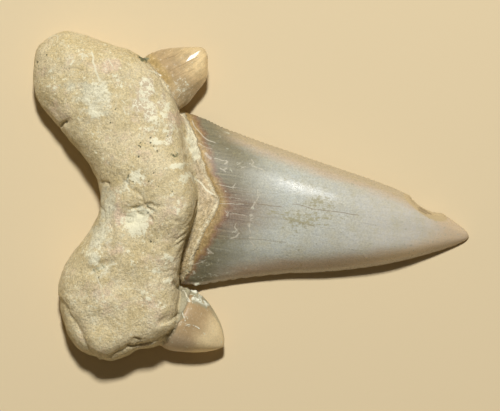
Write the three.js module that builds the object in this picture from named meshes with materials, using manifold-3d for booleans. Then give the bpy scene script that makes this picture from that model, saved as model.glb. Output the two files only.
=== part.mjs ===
import * as THREE from 'three';
import { mergeVertices } from 'three/addons/utils/BufferGeometryUtils.js';
import Module from 'manifold-3d';

// A fossil tooth of a large mackerel shark: a two-lobed root, a broad crown and one cusplet on
// each side of it, grown as one piece. It lies on its flatter labial face with the convex
// lingual face up. Millimetres, +Z up, +X from the root to the tip of the crown. The origin is
// on the resting plane, under the middle of the bounding box.

// ---------------------------------------------------------------- driving dimensions

const crownLength = 41.1; // along its axis, from the middle of its base to the tip
const crownHeading = THREE.MathUtils.degToRad(-7.7); // the axis leans towards the lower lobe
const crownBase = [-9.0, -0.3]; // middle of the crown's base
const cuspletLength = 7.8;
const enamelThickness = 0.3; // step where the enamel ends on the neck
const edgeThinning = 4; // the enamel thins over the last quarter of the height at a cutting edge
const tipThinning = 2; // and over the last half of a cusp's length
const neckLength = 5.2; // how far the crown's body runs back under the root from that step
const cuspletNeckLength = 4.0;
const flankRoundness = 3.2; // 2 is a parabola across a cusp, more is flatter along its crest
const rootRoundness = 2.2; // 2 rounds the root's edges as an ellipse, more leaves it flatter on top
const underRounding = 0.8; // rounding of the root's lower edge, as a share of the upper edge's
const landmarkReach = 4.6; // how far each landmark of the root makes itself felt
const lumpHeight = 0.2; // low swells all over the root, in rows that wander sideways
const lumpSpacing = 7.0;
const lumpRun = [0.9, 0.5];
const wanderRun = [-0.7, 0.5];
const wanderSize = 1.4;
const poreDepth = 1.6; // as a multiple of a pore's radius

// The root's outline from above, as ribs laid across it from the end of the upper lobe to the
// end of the lower one: first the point on the notched base, then the point on the crown side.
const rootRibs = [
  [[-30.7, 22.0], [-30.7, 22.0]],
  [[-31.5, 20.7], [-29.2, 23.2]],
  [[-31.8, 18.2], [-26.9, 24.0]],
  [[-31.5, 15.3], [-23.7, 23.2]],
  [[-30.4, 13.1], [-20.8, 22.2]],
  [[-28.5, 10.8], [-17.8, 21.3]],
  [[-26.3, 8.2], [-14.9, 19.3]],
  [[-24.4, 5.9], [-12.9, 16.8]],
  [[-22.8, 3.4], [-11.0, 13.2]],
  [[-22.0, 1.1], [-10.1, 8.8]],
  [[-21.8, -0.6], [-8.9, 4.0]],
  [[-22.1, -2.3], [-7.8, -0.6]],
  [[-23.1, -4.4], [-8.8, -4.9]],
  [[-25.0, -7.0], [-10.2, -8.8]],
  [[-26.8, -9.4], [-10.4, -12.9]],
  [[-27.9, -12.2], [-10.4, -16.2]],
  [[-28.1, -15.1], [-11.0, -19.6]],
  [[-27.7, -17.5], [-13.6, -21.7]],
  [[-27.0, -19.4], [-16.5, -22.4]],
  [[-26.1, -21.2], [-18.5, -23.4]],
  [[-25.1, -22.3], [-20.7, -24.0]],
  [[-23.6, -23.2], [-23.6, -23.2]],
];

// Landmarks of the root: where each is, the height of the top over it, the height at which the
// root is widest beside it, the height of the underside, and how far in the top edge is rounded.
// An underside below zero is worn flat at the resting plane.
const rootLandmarks = [
  { x: -27.5, y: 18.5, top: 8.2, rim: 3.0, under: -0.4, round: 7.0 }, // end of the upper lobe
  { x: -22.0, y: 15.0, top: 9.8, rim: 3.4, under: -0.7, round: 7.0 }, // upper lobe
  { x: -16.5, y: 15.5, top: 9.0, rim: 4.8, under: 0.9, round: 6.0 }, // beside the upper cusplet
  { x: -19.5, y: 7.0, top: 10.4, rim: 4.8, under: 1.5, round: 5.0 }, // saddle
  { x: -12.5, y: 8.0, top: 11.0, rim: 6.0, under: 1.8, round: 4.6 }, // upper flank of the boss
  { x: -12.2, y: 0.0, top: 13.5, rim: 6.6, under: 2.0, round: 3.2 }, // boss
  { x: -20.5, y: -1.0, top: 9.4, rim: 4.6, under: 2.0, round: 5.0 }, // rim of the notch
  { x: -13.0, y: -7.0, top: 10.2, rim: 6.2, under: 1.8, round: 2.4 }, // lower flank of the boss
  { x: -19.7, y: -12.5, top: 10.8, rim: 4.6, under: 0.0, round: 5.5 }, // lower lobe
  { x: -25.0, y: -13.5, top: 9.0, rim: 3.2, under: -0.5, round: 5.0 }, // its outer side
  { x: -22.5, y: -20.0, top: 8.4, rim: 3.0, under: -0.7, round: 3.6 }, // end of the lower lobe
  { x: -13.5, y: -17.0, top: 9.6, rim: 4.4, under: 1.0, round: 2.6 }, // beside the lower cusplet
];

// Grooves and hollows pressed into the top of the root, each along a line of points.
const rootHollows = [
  {
    line: [[-27.9, -14.5], [-26.5, -16.4], [-25.0, -18.5], [-24.0, -21.0], [-22.9, -22.7]],
    width: 0.8, depth: 0.55, // fold round the end of the lower lobe
  },
  {
    line: [[-21.2, -23.1], [-18.7, -22.0], [-17.3, -21.4], [-14.6, -21.0], [-12.0, -20.0]],
    width: 0.7, depth: 0.6, // ledge under it
  },
  { line: [[-17.9, -3.1], [-15.2, -2.5]], width: 1.7, depth: 0.7 }, // nutrient hollow
  { line: [[-23.0, -10.6], [-20.8, -9.4]], width: 0.8, depth: 0.4 }, // hollow on the lower lobe
  { line: [[-10.0, -4.2], [-11.6, -7.6]], width: 0.6, depth: 0.3 }, // creased flank of the boss
  { line: [[-15.6, -8.0], [-13.6, -10.6]], width: 1.2, depth: 0.3 }, // under the boss
  { line: [[-13.1, -17.8], [-10.7, -16.9]], width: 0.5, depth: 0.5 }, // beside the lower cusplet
  { line: [[-27.6, 10.3], [-26.4, 10.9]], width: 0.5, depth: 0.6 }, // dent in the upper lobe
];

// The same for the underside.
const undersideHollows = [
  { line: [[-17.0, 8.0], [-15.8, 0.0], [-17.0, -8.0]], width: 2.6, depth: 0.6 }, // labial hollow
  { line: [[-22.6, 10.8], [-20.9, 9.2]], width: 0.9, depth: 0.7 }, // dent
];

// Pores of the root, as small round holes: where, and their radius.
const rootPores = [
  { x: -17.6, y: -3.4, radius: 0.7 },
  { x: -16.6, y: -2.4, radius: 0.5 },
  { x: -15.1, y: -2.4, radius: 0.5 },
  { x: -18.0, y: 3.0, radius: 0.6 },
  { x: -15.5, y: 6.8, radius: 0.6 },
  { x: -13.7, y: 6.6, radius: 0.5 },
];

// A cusp is measured at stations along its axis: distance from the middle of its base, the
// half-widths on its upper and lower sides, the height of the cutting edges, how far the
// lingual face rises above them and the labial face hangs below them, and how far off the
// axis the crest of the lingual face runs, as a share of the half-width.
const crownStations = [
  { along: -8.0, upper: 8.6, lower: 8.6, edge: 1.7, rise: 4.2, belly: 0.3, crest: 0 },
  { along: -3.0, upper: 12.2, lower: 11.4, edge: 1.6, rise: 4.4, belly: 0.7, crest: 0 },
  { along: 0.5, upper: 11.9, lower: 12.5, edge: 1.55, rise: 4.2, belly: 0.9, crest: 0.02 },
  { along: 3.0, upper: 11.1, lower: 12.3, edge: 1.5, rise: 4.25, belly: 1.0, crest: 0.05 },
  { along: 6.0, upper: 10.4, lower: 11.4, edge: 1.5, rise: 4.55, belly: 1.0, crest: 0.1 },
  { along: 9.0, upper: 9.7, lower: 10.5, edge: 1.5, rise: 5.0, belly: 1.0, crest: 0.14 },
  { along: 15.0, upper: 8.5, lower: 9.0, edge: 1.5, rise: 5.65, belly: 1.0, crest: 0.16 },
  { along: 21.0, upper: 7.3, lower: 7.9, edge: 1.5, rise: 5.75, belly: 0.9, crest: 0.1 },
  { along: 27.0, upper: 6.1, lower: 6.4, edge: 1.5, rise: 4.95, belly: 0.8, crest: -0.08 },
  { along: 31.0, upper: 5.0, lower: 5.1, edge: 1.4, rise: 4.0, belly: 0.7, crest: -0.14 },
  { along: 35.0, upper: 3.6, lower: 3.5, edge: 1.0, rise: 2.75, belly: 0.6, crest: -0.1 },
  { along: 38.5, upper: 1.95, lower: 1.9, edge: 0.5, rise: 1.6, belly: 0.4, crest: 0 },
  { along: 40.5, upper: 0.75, lower: 0.7, edge: 0.3, rise: 0.7, belly: 0.25, crest: 0 },
  { along: crownLength, upper: 0, lower: 0, edge: 0.2, rise: 0, belly: 0, crest: 0 },
];
const upperCuspletStations = [
  { along: -5.0, upper: 3.8, lower: 3.8, edge: 3.6, rise: 2.2, belly: 0.8, crest: 0 },
  { along: 0.5, upper: 4.6, lower: 4.6, edge: 3.5, rise: 2.5, belly: 1.0, crest: -0.05 },
  { along: 3.0, upper: 3.9, lower: 4.1, edge: 3.45, rise: 2.75, belly: 0.9, crest: -0.1 },
  { along: 5.5, upper: 2.3, lower: 3.3, edge: 3.65, rise: 2.5, belly: 0.7, crest: -0.12 },
  { along: 7.0, upper: 1.15, lower: 1.6, edge: 4.1, rise: 1.75, belly: 0.4, crest: -0.1 },
  { along: 7.5, upper: 0.7, lower: 0.9, edge: 4.4, rise: 1.2, belly: 0.3, crest: 0 },
  { along: cuspletLength, upper: 0, lower: 0, edge: 4.8, rise: 0, belly: 0, crest: 0 },
];
const lowerCuspletStations = [
  { along: -5.0, upper: 3.8, lower: 3.8, edge: 3.1, rise: 2.8, belly: 0.8, crest: 0 },
  { along: 0.5, upper: 4.7, lower: 4.7, edge: 3.0, rise: 3.6, belly: 1.0, crest: 0 },
  { along: 3.0, upper: 4.1, lower: 3.8, edge: 2.9, rise: 3.0, belly: 0.9, crest: 0 },
  { along: 5.5, upper: 2.7, lower: 2.3, edge: 2.9, rise: 2.0, belly: 0.7, crest: 0 },
  { along: 7.0, upper: 1.3, lower: 1.0, edge: 2.8, rise: 1.0, belly: 0.4, crest: 0 },
  { along: cuspletLength, upper: 0, lower: 0, edge: 2.8, rise: 0, belly: 0, crest: 0 },
];

// Where the lingual enamel ends, from the lower side (-1) to the upper side (1) of each cusp.
// On the crown it points to the tip, like a chevron.
const crownEnamelLine = [
  { across: -1.0, along: 0.5 },
  { across: -0.42, along: 2.3 },
  { across: -0.14, along: 3.8 },
  { across: 0.02, along: 4.3 },
  { across: 0.18, along: 3.2 },
  { across: 0.45, along: 1.4 },
  { across: 0.7, along: 0.0 },
  { across: 1.0, along: -2.5 },
];
const cuspletEnamelLine = [
  { across: -1.0, along: -0.6 },
  { across: 0.0, along: 0.2 },
  { across: 1.0, along: -0.6 },
];

const cusps = [
  {
    base: crownBase, heading: crownHeading, length: crownLength, back: neckLength,
    stations: crownStations, enamelLine: crownEnamelLine, rows: 30, columns: 18,
  },
  {
    base: [-12.9, 16.5], heading: THREE.MathUtils.degToRad(37.7), length: cuspletLength,
    back: cuspletNeckLength, stations: upperCuspletStations, enamelLine: cuspletEnamelLine,
    rows: 9, columns: 10,
  },
  {
    base: [-10.7, -17.7], heading: THREE.MathUtils.degToRad(-31.4), length: cuspletLength,
    back: cuspletNeckLength, stations: lowerCuspletStations, enamelLine: cuspletEnamelLine,
    rows: 9, columns: 10,
  },
];

// A flake broken from the upper cutting edge near the tip, as the ellipsoid that it leaves.
const chip = { along: 34.6, across: 4.55, height: 2.8, lean: -0.4, halfSizes: [3.8, 2.0, 2.8] };

// How finely the surfaces are divided.
const rootRows = 52;
const rootColumns = 22;
const outlineSteps = 110;
const crowdedAcross = 0.65; // how far the columns draw together near both edges, from 0 to 1
const crowdedTip = 0.35; // the same for a cusp's rows near its tip
const rowsUnderRoot = [1, 0.6, 0.3]; // of a cusp, as shares of the way back from its enamel line
const stepWidth = 0.3; // between the two rows that make the step at the enamel line
const flakeSegments = [20, 12];
const poreSegments = [10, 6];
const weldDistance = 1e-4;

// ---------------------------------------------------------------- helpers

// A smooth curve through values given at increasing positions, level or straight at its ends.
function smoothThrough(entries, position, value) {
  const at = entries.map((entry) => entry[position]);
  const heights = entries.map((entry) => entry[value]);
  const last = at.length - 1;
  const slope = at.map((_, i) => {
    const before = Math.max(i - 1, 0);
    const after = Math.min(i + 1, last);
    return (heights[after] - heights[before]) / (at[after] - at[before]);
  });
  return (where) => {
    const clamped = THREE.MathUtils.clamp(where, at[0], at[last]);
    const i = Math.min(at.findLastIndex((start) => start <= clamped), last - 1);
    const span = at[i + 1] - at[i];
    const t = (clamped - at[i]) / span;
    const rise = heights[i + 1] - heights[i];
    const leaving = slope[i] * span;
    const arriving = slope[i + 1] * span;
    const bend = 3 * rise - 2 * leaving - arriving;
    const twist = leaving + arriving - 2 * rise;
    return heights[i] + t * (leaving + t * (bend + t * twist));
  };
}

function distanceToLine(x, y, points) {
  let nearest = Infinity;
  for (let i = 0; i + 1 < points.length; i += 1) {
    const [ax, ay] = points[i];
    const [bx, by] = points[i + 1];
    const share = ((x - ax) * (bx - ax) + (y - ay) * (by - ay)) / ((bx - ax) ** 2 + (by - ay) ** 2);
    const t = THREE.MathUtils.clamp(share, 0, 1);
    nearest = Math.min(nearest, Math.hypot(x - ax - t * (bx - ax), y - ay - t * (by - ay)));
  }
  return nearest;
}

// The point at a distance along and across an axis that starts at base and runs at heading.
function onAxis(base, heading, along, across, height) {
  return [
    base[0] + along * Math.cos(heading) - across * Math.sin(heading),
    base[1] + along * Math.sin(heading) + across * Math.cos(heading),
    height,
  ];
}

// Places across a rib from -1 to 1, drawn together near both ends where the surface curves most.
function spacedAcross(columns) {
  return Array.from({ length: columns + 1 }, (_, j) => {
    const even = (2 * j) / columns - 1;
    const round = -Math.cos((Math.PI * j) / columns);
    return even + crowdedAcross * (round - even);
  });
}

// A closed shell between an upper and a lower skin that meet along both edges. Each row holds
// the points of the upper skin and of the lower one, and both start and end at the same edge.
function shellBetween(rows) {
  const positions = [];
  const indices = [];
  const columns = rows[0].upper.length - 1;
  const ringSize = 2 * columns;
  for (const row of rows) {
    const lowerInside = row.lower.slice(1, -1).reverse();
    for (const point of [...row.upper, ...lowerInside]) {
      positions.push(...point);
    }
  }
  for (let i = 0; i + 1 < rows.length; i += 1) {
    for (let j = 0; j < ringSize; j += 1) {
      const next = (j + 1) % ringSize;
      const a = i * ringSize + j;
      const b = i * ringSize + next;
      indices.push(a, a + ringSize, b, b, a + ringSize, b + ringSize);
    }
  }
  for (const first of [0, (rows.length - 1) * ringSize]) {
    for (let j = 0; j < columns; j += 1) {
      const upperHere = first + j;
      const upperNext = first + j + 1;
      const lowerHere = first + ((ringSize - j) % ringSize);
      const lowerNext = first + ringSize - j - 1;
      const quad = [upperHere, upperNext, lowerHere, lowerHere, upperNext, lowerNext];
      indices.push(...(first === 0 ? quad : quad.reverse()));
    }
  }
  const shell = new THREE.BufferGeometry();
  shell.setAttribute('position', new THREE.Float32BufferAttribute(positions, 3));
  shell.setIndex(indices);
  return shell;
}

const wasm = await Module();
wasm.setup();

// Only the triangles that still have three different corners once equal points are merged.
function toSolid(geometry) {
  geometry.deleteAttribute('normal');
  geometry.deleteAttribute('uv');
  const merged = mergeVertices(geometry, weldDistance);
  const corners = merged.index.array;
  const kept = [];
  for (let i = 0; i < corners.length; i += 3) {
    const [a, b, c] = corners.slice(i, i + 3);
    if (a !== b && b !== c && c !== a) {
      kept.push(a, b, c);
    }
  }
  return new wasm.Manifold(new wasm.Mesh({
    numProp: 3,
    vertProperties: new Float32Array(merged.attributes.position.array),
    triVerts: new Uint32Array(kept),
  }));
}

function toGeometry(solid) {
  const mesh = solid.getMesh();
  const geometry = new THREE.BufferGeometry();
  geometry.setAttribute('position', new THREE.BufferAttribute(mesh.vertProperties, 3));
  geometry.setIndex(new THREE.BufferAttribute(mesh.triVerts, 1));
  return geometry;
}

// ---------------------------------------------------------------- root

const notchEdge = new THREE.SplineCurve(rootRibs.map(([notch]) => new THREE.Vector2(...notch)));
const crownEdge = new THREE.SplineCurve(rootRibs.map(([, crown]) => new THREE.Vector2(...crown)));
const outline = [
  ...notchEdge.getPoints(outlineSteps),
  ...crownEdge.getPoints(outlineSteps).reverse().slice(1),
].map((point) => [point.x, point.y]);

function rootMeasures(x, y) {
  const sum = { top: 0, rim: 0, under: 0, round: 0 };
  let total = 0;
  for (const mark of rootLandmarks) {
    const away = Math.hypot(x - mark.x, y - mark.y) / landmarkReach;
    const weight = Math.exp(-0.5 * away * away);
    total += weight;
    for (const measure of Object.keys(sum)) {
      sum[measure] += weight * mark[measure];
    }
  }
  for (const measure of Object.keys(sum)) {
    sum[measure] /= total;
  }
  return sum;
}

// How full the root is at a distance in from its outline: 0 on the outline, 1 past the rounding.
function fullness(inset, round) {
  const short = 1 - Math.min(inset / round, 1);
  return (1 - short ** rootRoundness) ** (1 / rootRoundness);
}

function pressedIn(x, y, hollows) {
  const depths = hollows.map(({ line, width, depth }) => {
    const away = distanceToLine(x, y, line) / width;
    return depth * Math.exp(-away * away);
  });
  return depths.reduce((sum, depth) => sum + depth, 0);
}

function relief(x, y) {
  const turn = (2 * Math.PI) / lumpSpacing;
  const wander = wanderSize * Math.sin(turn * (wanderRun[0] * x + wanderRun[1] * y));
  const swell = lumpHeight * Math.sin(turn * (lumpRun[0] * x + lumpRun[1] * y) + wander);
  return swell - pressedIn(x, y, rootHollows);
}

function rootTop(x, y) {
  const { top, rim, round } = rootMeasures(x, y);
  const full = fullness(distanceToLine(x, y, outline), round);
  return rim + (top - rim + relief(x, y)) * full;
}

function rootUnder(x, y) {
  const { rim, under, round } = rootMeasures(x, y);
  const full = fullness(distanceToLine(x, y, outline), underRounding * round);
  const raised = under + pressedIn(x, y, undersideHollows);
  return Math.max(rim - (rim - raised) * full, 0);
}

function root() {
  const places = spacedAcross(rootColumns);
  const rows = [];
  for (let i = 0; i <= rootRows; i += 1) {
    const notch = notchEdge.getPoint(i / rootRows);
    const crown = crownEdge.getPoint(i / rootRows);
    const plan = places.map((across) => notch.clone().lerp(crown, (across + 1) / 2));
    const rims = [notch, crown].map((end) => [end.x, end.y, rootMeasures(end.x, end.y).rim]);
    const skin = (height) => [
      rims[0],
      ...plan.slice(1, -1).map(({ x, y }) => [x, y, height(x, y)]),
      rims[1],
    ];
    rows.push({ upper: skin(rootTop), lower: skin(rootUnder) });
  }
  return toSolid(shellBetween(rows));
}

// ---------------------------------------------------------------- cusps

function cuspMeasures(stations) {
  const names = ['upper', 'lower', 'edge', 'rise', 'belly', 'crest'];
  const curves = names.map((name) => smoothThrough(stations, 'along', name));
  return (along) => Object.fromEntries(names.map((name, k) => [name, curves[k](along)]));
}

// Places along a cusp as a share of its length beyond the enamel line, with two rows close
// together at the step and shorter rows towards the tip. Rows before the line count back from it.
function spacedAlong(rows, back) {
  const before = rowsUnderRoot.map((way) => ({ step: -way * back, share: 0, enamel: 0 }));
  const atStep = [
    { step: -stepWidth / 2, share: 0, enamel: 0 },
    { step: stepWidth / 2, share: 0, enamel: 1 },
  ];
  const beyond = Array.from({ length: rows }, (_, i) => {
    const even = (i + 1) / rows;
    return { step: 0, share: even + crowdedTip * even * (1 - even), enamel: 1 };
  });
  return [...before, ...atStep, ...beyond];
}

// The enamel coat thins out towards the cutting edges and the tip.
function cusp({ base, heading, length, back, stations, enamelLine, rows, columns }) {
  const measures = cuspMeasures(stations);
  const enamelEnd = smoothThrough(enamelLine, 'across', 'along');
  const skins = spacedAlong(rows, back).map(({ step, share, enamel }) => {
    const alongRow = (start) => start + step + share * (length - start - step);
    const upper = [];
    const lower = [];
    for (const across of spacedAcross(columns)) {
      const lingual = alongRow(enamelEnd(across));
      const straight = THREE.MathUtils.lerp(enamelEnd(-1), enamelEnd(1), (across + 1) / 2);
      const labial = alongRow(straight);
      const over = measures(lingual);
      const beneath = measures(labial);
      const fromCrest = across - over.crest;
      const flank = 1 - over.crest * Math.sign(fromCrest);
      const arch = 1 - (Math.abs(fromCrest) / flank) ** flankRoundness;
      const thinning = Math.min(1, edgeThinning * arch, tipThinning * (1 - share));
      const coat = enamel * enamelThickness * thinning;
      const reachOver = across * (across > 0 ? over.upper : over.lower);
      const reachBeneath = across * (across > 0 ? beneath.upper : beneath.lower);
      const crestHeight = over.edge + over.rise * arch + coat;
      const sagHeight = beneath.edge - beneath.belly * (1 - across ** 2);
      upper.push(onAxis(base, heading, lingual, reachOver, crestHeight));
      lower.push(onAxis(base, heading, labial, reachBeneath, sagHeight));
    }
    return { upper, lower };
  });
  return toSolid(shellBetween(skins));
}

// ---------------------------------------------------------------- flake and pores

function ellipsoid(halfSizes, centre, heading, segments) {
  const ball = new THREE.SphereGeometry(1, ...segments);
  ball.scale(...halfSizes);
  ball.rotateZ(heading);
  ball.translate(...centre);
  return toSolid(ball);
}

function flake() {
  const centre = onAxis(crownBase, crownHeading, chip.along, chip.across, chip.height);
  return ellipsoid(chip.halfSizes, centre, crownHeading + chip.lean, flakeSegments);
}

function pore({ x, y, radius }) {
  return ellipsoid([radius, radius, poreDepth * radius], [x, y, rootTop(x, y)], 0, poreSegments);
}

// ---------------------------------------------------------------- tooth

function tooth() {
  let solid = root();
  for (const shape of cusps) {
    solid = solid.add(cusp(shape));
  }
  for (const cut of [flake(), ...rootPores.map(pore)]) {
    solid = solid.subtract(cut);
  }
  const geometry = toGeometry(solid);
  geometry.computeBoundingBox();
  const middle = geometry.boundingBox.getCenter(new THREE.Vector3());
  geometry.translate(-middle.x, -middle.y, -geometry.boundingBox.min.z);
  geometry.computeVertexNormals();
  return geometry;
}

const fossil = new THREE.MeshStandardMaterial({ color: 0xa8977c, roughness: 0.7, metalness: 0 });
const toothMesh = new THREE.Mesh(tooth(), fossil);
toothMesh.name = 'tooth';

const model = new THREE.Group();
model.add(toothMesh);

export default model;
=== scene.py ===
"""A fossil shark tooth with its looks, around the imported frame.

Forms are worked out in millimetres, in the part's own frame, and become metres with the mesh.
"""

import math

import bpy
import numpy as np
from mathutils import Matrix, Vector


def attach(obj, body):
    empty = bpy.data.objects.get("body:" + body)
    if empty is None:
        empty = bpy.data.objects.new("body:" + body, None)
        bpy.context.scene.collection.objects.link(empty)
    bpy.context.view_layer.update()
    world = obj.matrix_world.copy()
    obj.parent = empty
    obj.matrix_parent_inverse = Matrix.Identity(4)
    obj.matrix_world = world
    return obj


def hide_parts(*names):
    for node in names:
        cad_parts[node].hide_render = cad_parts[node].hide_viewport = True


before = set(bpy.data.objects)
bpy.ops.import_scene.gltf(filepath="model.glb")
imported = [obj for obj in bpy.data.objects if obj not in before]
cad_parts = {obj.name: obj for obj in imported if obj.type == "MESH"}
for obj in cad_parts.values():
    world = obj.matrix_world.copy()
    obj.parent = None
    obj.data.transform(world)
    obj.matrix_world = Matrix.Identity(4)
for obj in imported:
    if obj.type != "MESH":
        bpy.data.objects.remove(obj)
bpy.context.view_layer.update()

MM = 0.001

# ------------------------------------------------------------------ driving dimensions, mm

CROWN_LENGTH = 41.1
CUSPLET_LENGTH = 7.8
ENAMEL_THICKNESS = 0.3
ENAMEL_STEP = (-0.15, 0.4)  # where its edge rises, from its line
FLANK_ROUNDNESS = 3.2
EDGE_ROUNDNESS = 2.2
LANDMARK_REACH = 4.6
LUMP_HEIGHT = 0.2
LUMP_SPACING = 7.0
NECK_LENGTH = 5.2
CUSPLET_NECK_LENGTH = 4.0
LEAST_THICKNESS = 0.3  # of the root above and below its widest outline
CUTTING_EDGE_BLEND = 0.12
CUSPLET_SEAM = 0.4
CROWN_SEAM, CROWN_SEAM_GROWTH = 0.6, 2.4  # the seam is wider on the crown's upper side
GRID_STEP = 0.24
GRID_BOX = ((-31.9, -24.1, 0.0), (31.9, 24.1, 15.5))

# The root's outline, as the ends of ribs laid across it: on the notched base, then on the crown side.
ROOT_RIBS = [
    ((-30.7, 22.0), (-30.7, 22.0)), ((-31.5, 20.7), (-29.2, 23.2)),
    ((-31.8, 18.2), (-26.9, 24.0)), ((-31.5, 15.3), (-23.7, 23.2)),
    ((-30.4, 13.1), (-20.8, 22.2)), ((-28.5, 10.8), (-17.8, 21.3)),
    ((-26.3, 8.2), (-14.9, 19.3)), ((-24.4, 5.9), (-12.9, 16.8)),
    ((-22.8, 3.4), (-11.0, 13.2)), ((-22.0, 1.1), (-10.1, 8.8)),
    ((-21.8, -0.6), (-8.9, 4.0)), ((-22.1, -2.3), (-7.8, -0.6)),
    ((-23.1, -4.4), (-8.8, -4.9)), ((-25.0, -7.0), (-10.2, -8.8)),
    ((-26.8, -9.4), (-10.4, -12.9)), ((-27.9, -12.2), (-10.4, -16.2)),
    ((-28.1, -15.1), (-11.0, -19.6)), ((-27.7, -17.5), (-13.6, -21.7)),
    ((-27.0, -19.4), (-16.5, -22.4)), ((-26.1, -21.2), (-18.5, -23.4)),
    ((-25.1, -22.3), (-20.7, -24.0)), ((-23.6, -23.2), (-23.6, -23.2)),
]

# Landmarks of the root: x, y, then the height of the top, of the widest outline and of the
# underside there, and how far in the top edge is rounded.
ROOT_LANDMARKS = [
    (-27.5, 18.5, 8.2, 3.0, -0.4, 7.0),  # end of the upper lobe
    (-22.0, 15.0, 9.8, 3.4, -0.7, 7.0),  # upper lobe
    (-16.5, 15.5, 9.0, 4.8, 0.9, 6.0),  # beside the upper cusplet
    (-19.5, 7.0, 10.4, 4.8, 1.5, 5.0),  # saddle
    (-12.5, 8.0, 11.0, 6.0, 1.8, 4.6),  # upper flank of the boss
    (-12.2, 0.0, 13.5, 6.6, 2.0, 3.2),  # boss
    (-20.5, -1.0, 9.4, 4.6, 2.0, 5.0),  # rim of the notch
    (-13.0, -7.0, 10.2, 6.2, 1.8, 2.4),  # lower flank of the boss
    (-19.7, -12.5, 10.8, 4.6, 0.0, 5.5),  # lower lobe
    (-25.0, -13.5, 9.0, 3.2, -0.5, 5.0),  # its outer side
    (-22.5, -20.0, 8.4, 3.0, -0.7, 3.6),  # end of the lower lobe
    (-13.5, -17.0, 9.6, 4.4, 1.0, 2.6),  # beside the lower cusplet
]


def lines_of(rows):
    """Rows of a width, a depth or strength and the points' x and y, with the points in pairs."""
    return [(width, strong, np.reshape(points, (-1, 2))) for width, strong, *points in rows]


# Grooves and hollows of the root, then of its underside.
ROOT_HOLLOWS = lines_of([
    (0.8, 0.55, -27.9, -14.5, -26.5, -16.4, -25.0, -18.5, -24.0, -21.0, -22.9, -22.7),
    (0.7, 0.6, -21.2, -23.1, -18.7, -22.0, -17.3, -21.4, -14.6, -21.0, -12.0, -20.0),
    (1.7, 0.7, -17.9, -3.1, -15.2, -2.5),  # nutrient hollow
    (0.8, 0.4, -23.0, -10.6, -20.8, -9.4),  # hollow on the lower lobe
    (0.6, 0.3, -10.0, -4.2, -11.6, -7.6),  # creased flank of the boss
    (1.2, 0.3, -15.6, -8.0, -13.6, -10.6),  # under the boss
    (0.5, 0.5, -13.1, -17.8, -10.7, -16.9),  # beside the lower cusplet
    (0.5, 0.6, -27.6, 10.3, -26.4, 10.9),  # dent in the upper lobe
])
UNDERSIDE_HOLLOWS = lines_of([
    (2.6, 0.6, -17.0, 8.0, -15.8, 0.0, -17.0, -8.0),  # labial hollow
    (0.9, 0.7, -22.6, 10.8, -20.9, 9.2),  # dent
])

# Stations along a cusp: distance from the middle of its base, half-widths on its upper and lower
# sides, height of the cutting edges, rise of the lingual face above them, sag of the labial face
# below them, and how far off the axis the crest runs, as a share of the half-width.
CROWN_STATIONS = [
    (-8.0, 8.6, 8.6, 1.7, 4.2, 0.3, 0), (-3.0, 12.2, 11.4, 1.6, 4.4, 0.7, 0),
    (0.5, 11.9, 12.5, 1.55, 4.2, 0.9, 0.02), (3.0, 11.1, 12.3, 1.5, 4.25, 1.0, 0.05),
    (6.0, 10.4, 11.4, 1.5, 4.55, 1.0, 0.1), (9.0, 9.7, 10.5, 1.5, 5, 1.0, 0.14),
    (15.0, 8.5, 9.0, 1.5, 5.65, 1.0, 0.16), (21.0, 7.3, 7.9, 1.5, 5.75, 0.9, 0.1),
    (27.0, 6.1, 6.4, 1.5, 4.95, 0.8, -0.08), (31.0, 5.0, 5.1, 1.4, 4, 0.7, -0.14),
    (35.0, 3.6, 3.5, 1.0, 2.75, 0.6, -0.1), (38.5, 1.95, 1.9, 0.5, 1.6, 0.4, 0),
    (40.5, 0.75, 0.7, 0.3, 0.7, 0.25, 0), (CROWN_LENGTH, 0, 0, 0.2, 0, 0, 0),
]
UPPER_CUSPLET_STATIONS = [
    (-5.0, 3.8, 3.8, 3.6, 2.2, 0.8, 0), (0.5, 4.6, 4.6, 3.5, 2.5, 1.0, -0.05),
    (3.0, 3.9, 4.1, 3.45, 2.75, 0.9, -0.1), (5.5, 2.3, 3.3, 3.65, 2.5, 0.7, -0.12),
    (7.0, 1.15, 1.6, 4.1, 1.75, 0.4, -0.1), (7.5, 0.7, 0.9, 4.4, 1.2, 0.3, 0),
    (CUSPLET_LENGTH, 0, 0, 4.8, 0, 0, 0),
]
LOWER_CUSPLET_STATIONS = [
    (-5.0, 3.8, 3.8, 3.1, 2.8, 0.8, 0), (0.5, 4.7, 4.7, 3.0, 3.6, 1.0, 0),
    (3.0, 4.1, 3.8, 2.9, 3.0, 0.9, 0), (5.5, 2.7, 2.3, 2.9, 2.0, 0.7, 0),
    (7.0, 1.3, 1.0, 2.8, 1.0, 0.4, 0), (CUSPLET_LENGTH, 0, 0, 2.8, 0, 0, 0),
]

# Where the lingual enamel ends, from the lower side (-1) to the upper side (1) of each cusp.
CROWN_ENAMEL_LINE = [
    (-1.0, 0.3), (-0.8, 1.5), (-0.42, 2.5), (-0.14, 3.8), (0.02, 4.3), (0.18, 3.2), (0.45, 1.4),
    (0.7, 0.0), (1.0, -2.5),
]
CUSPLET_ENAMEL_LINE = [(-1.0, -0.6), (0.0, 0.2), (1.0, -0.6)]

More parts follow.
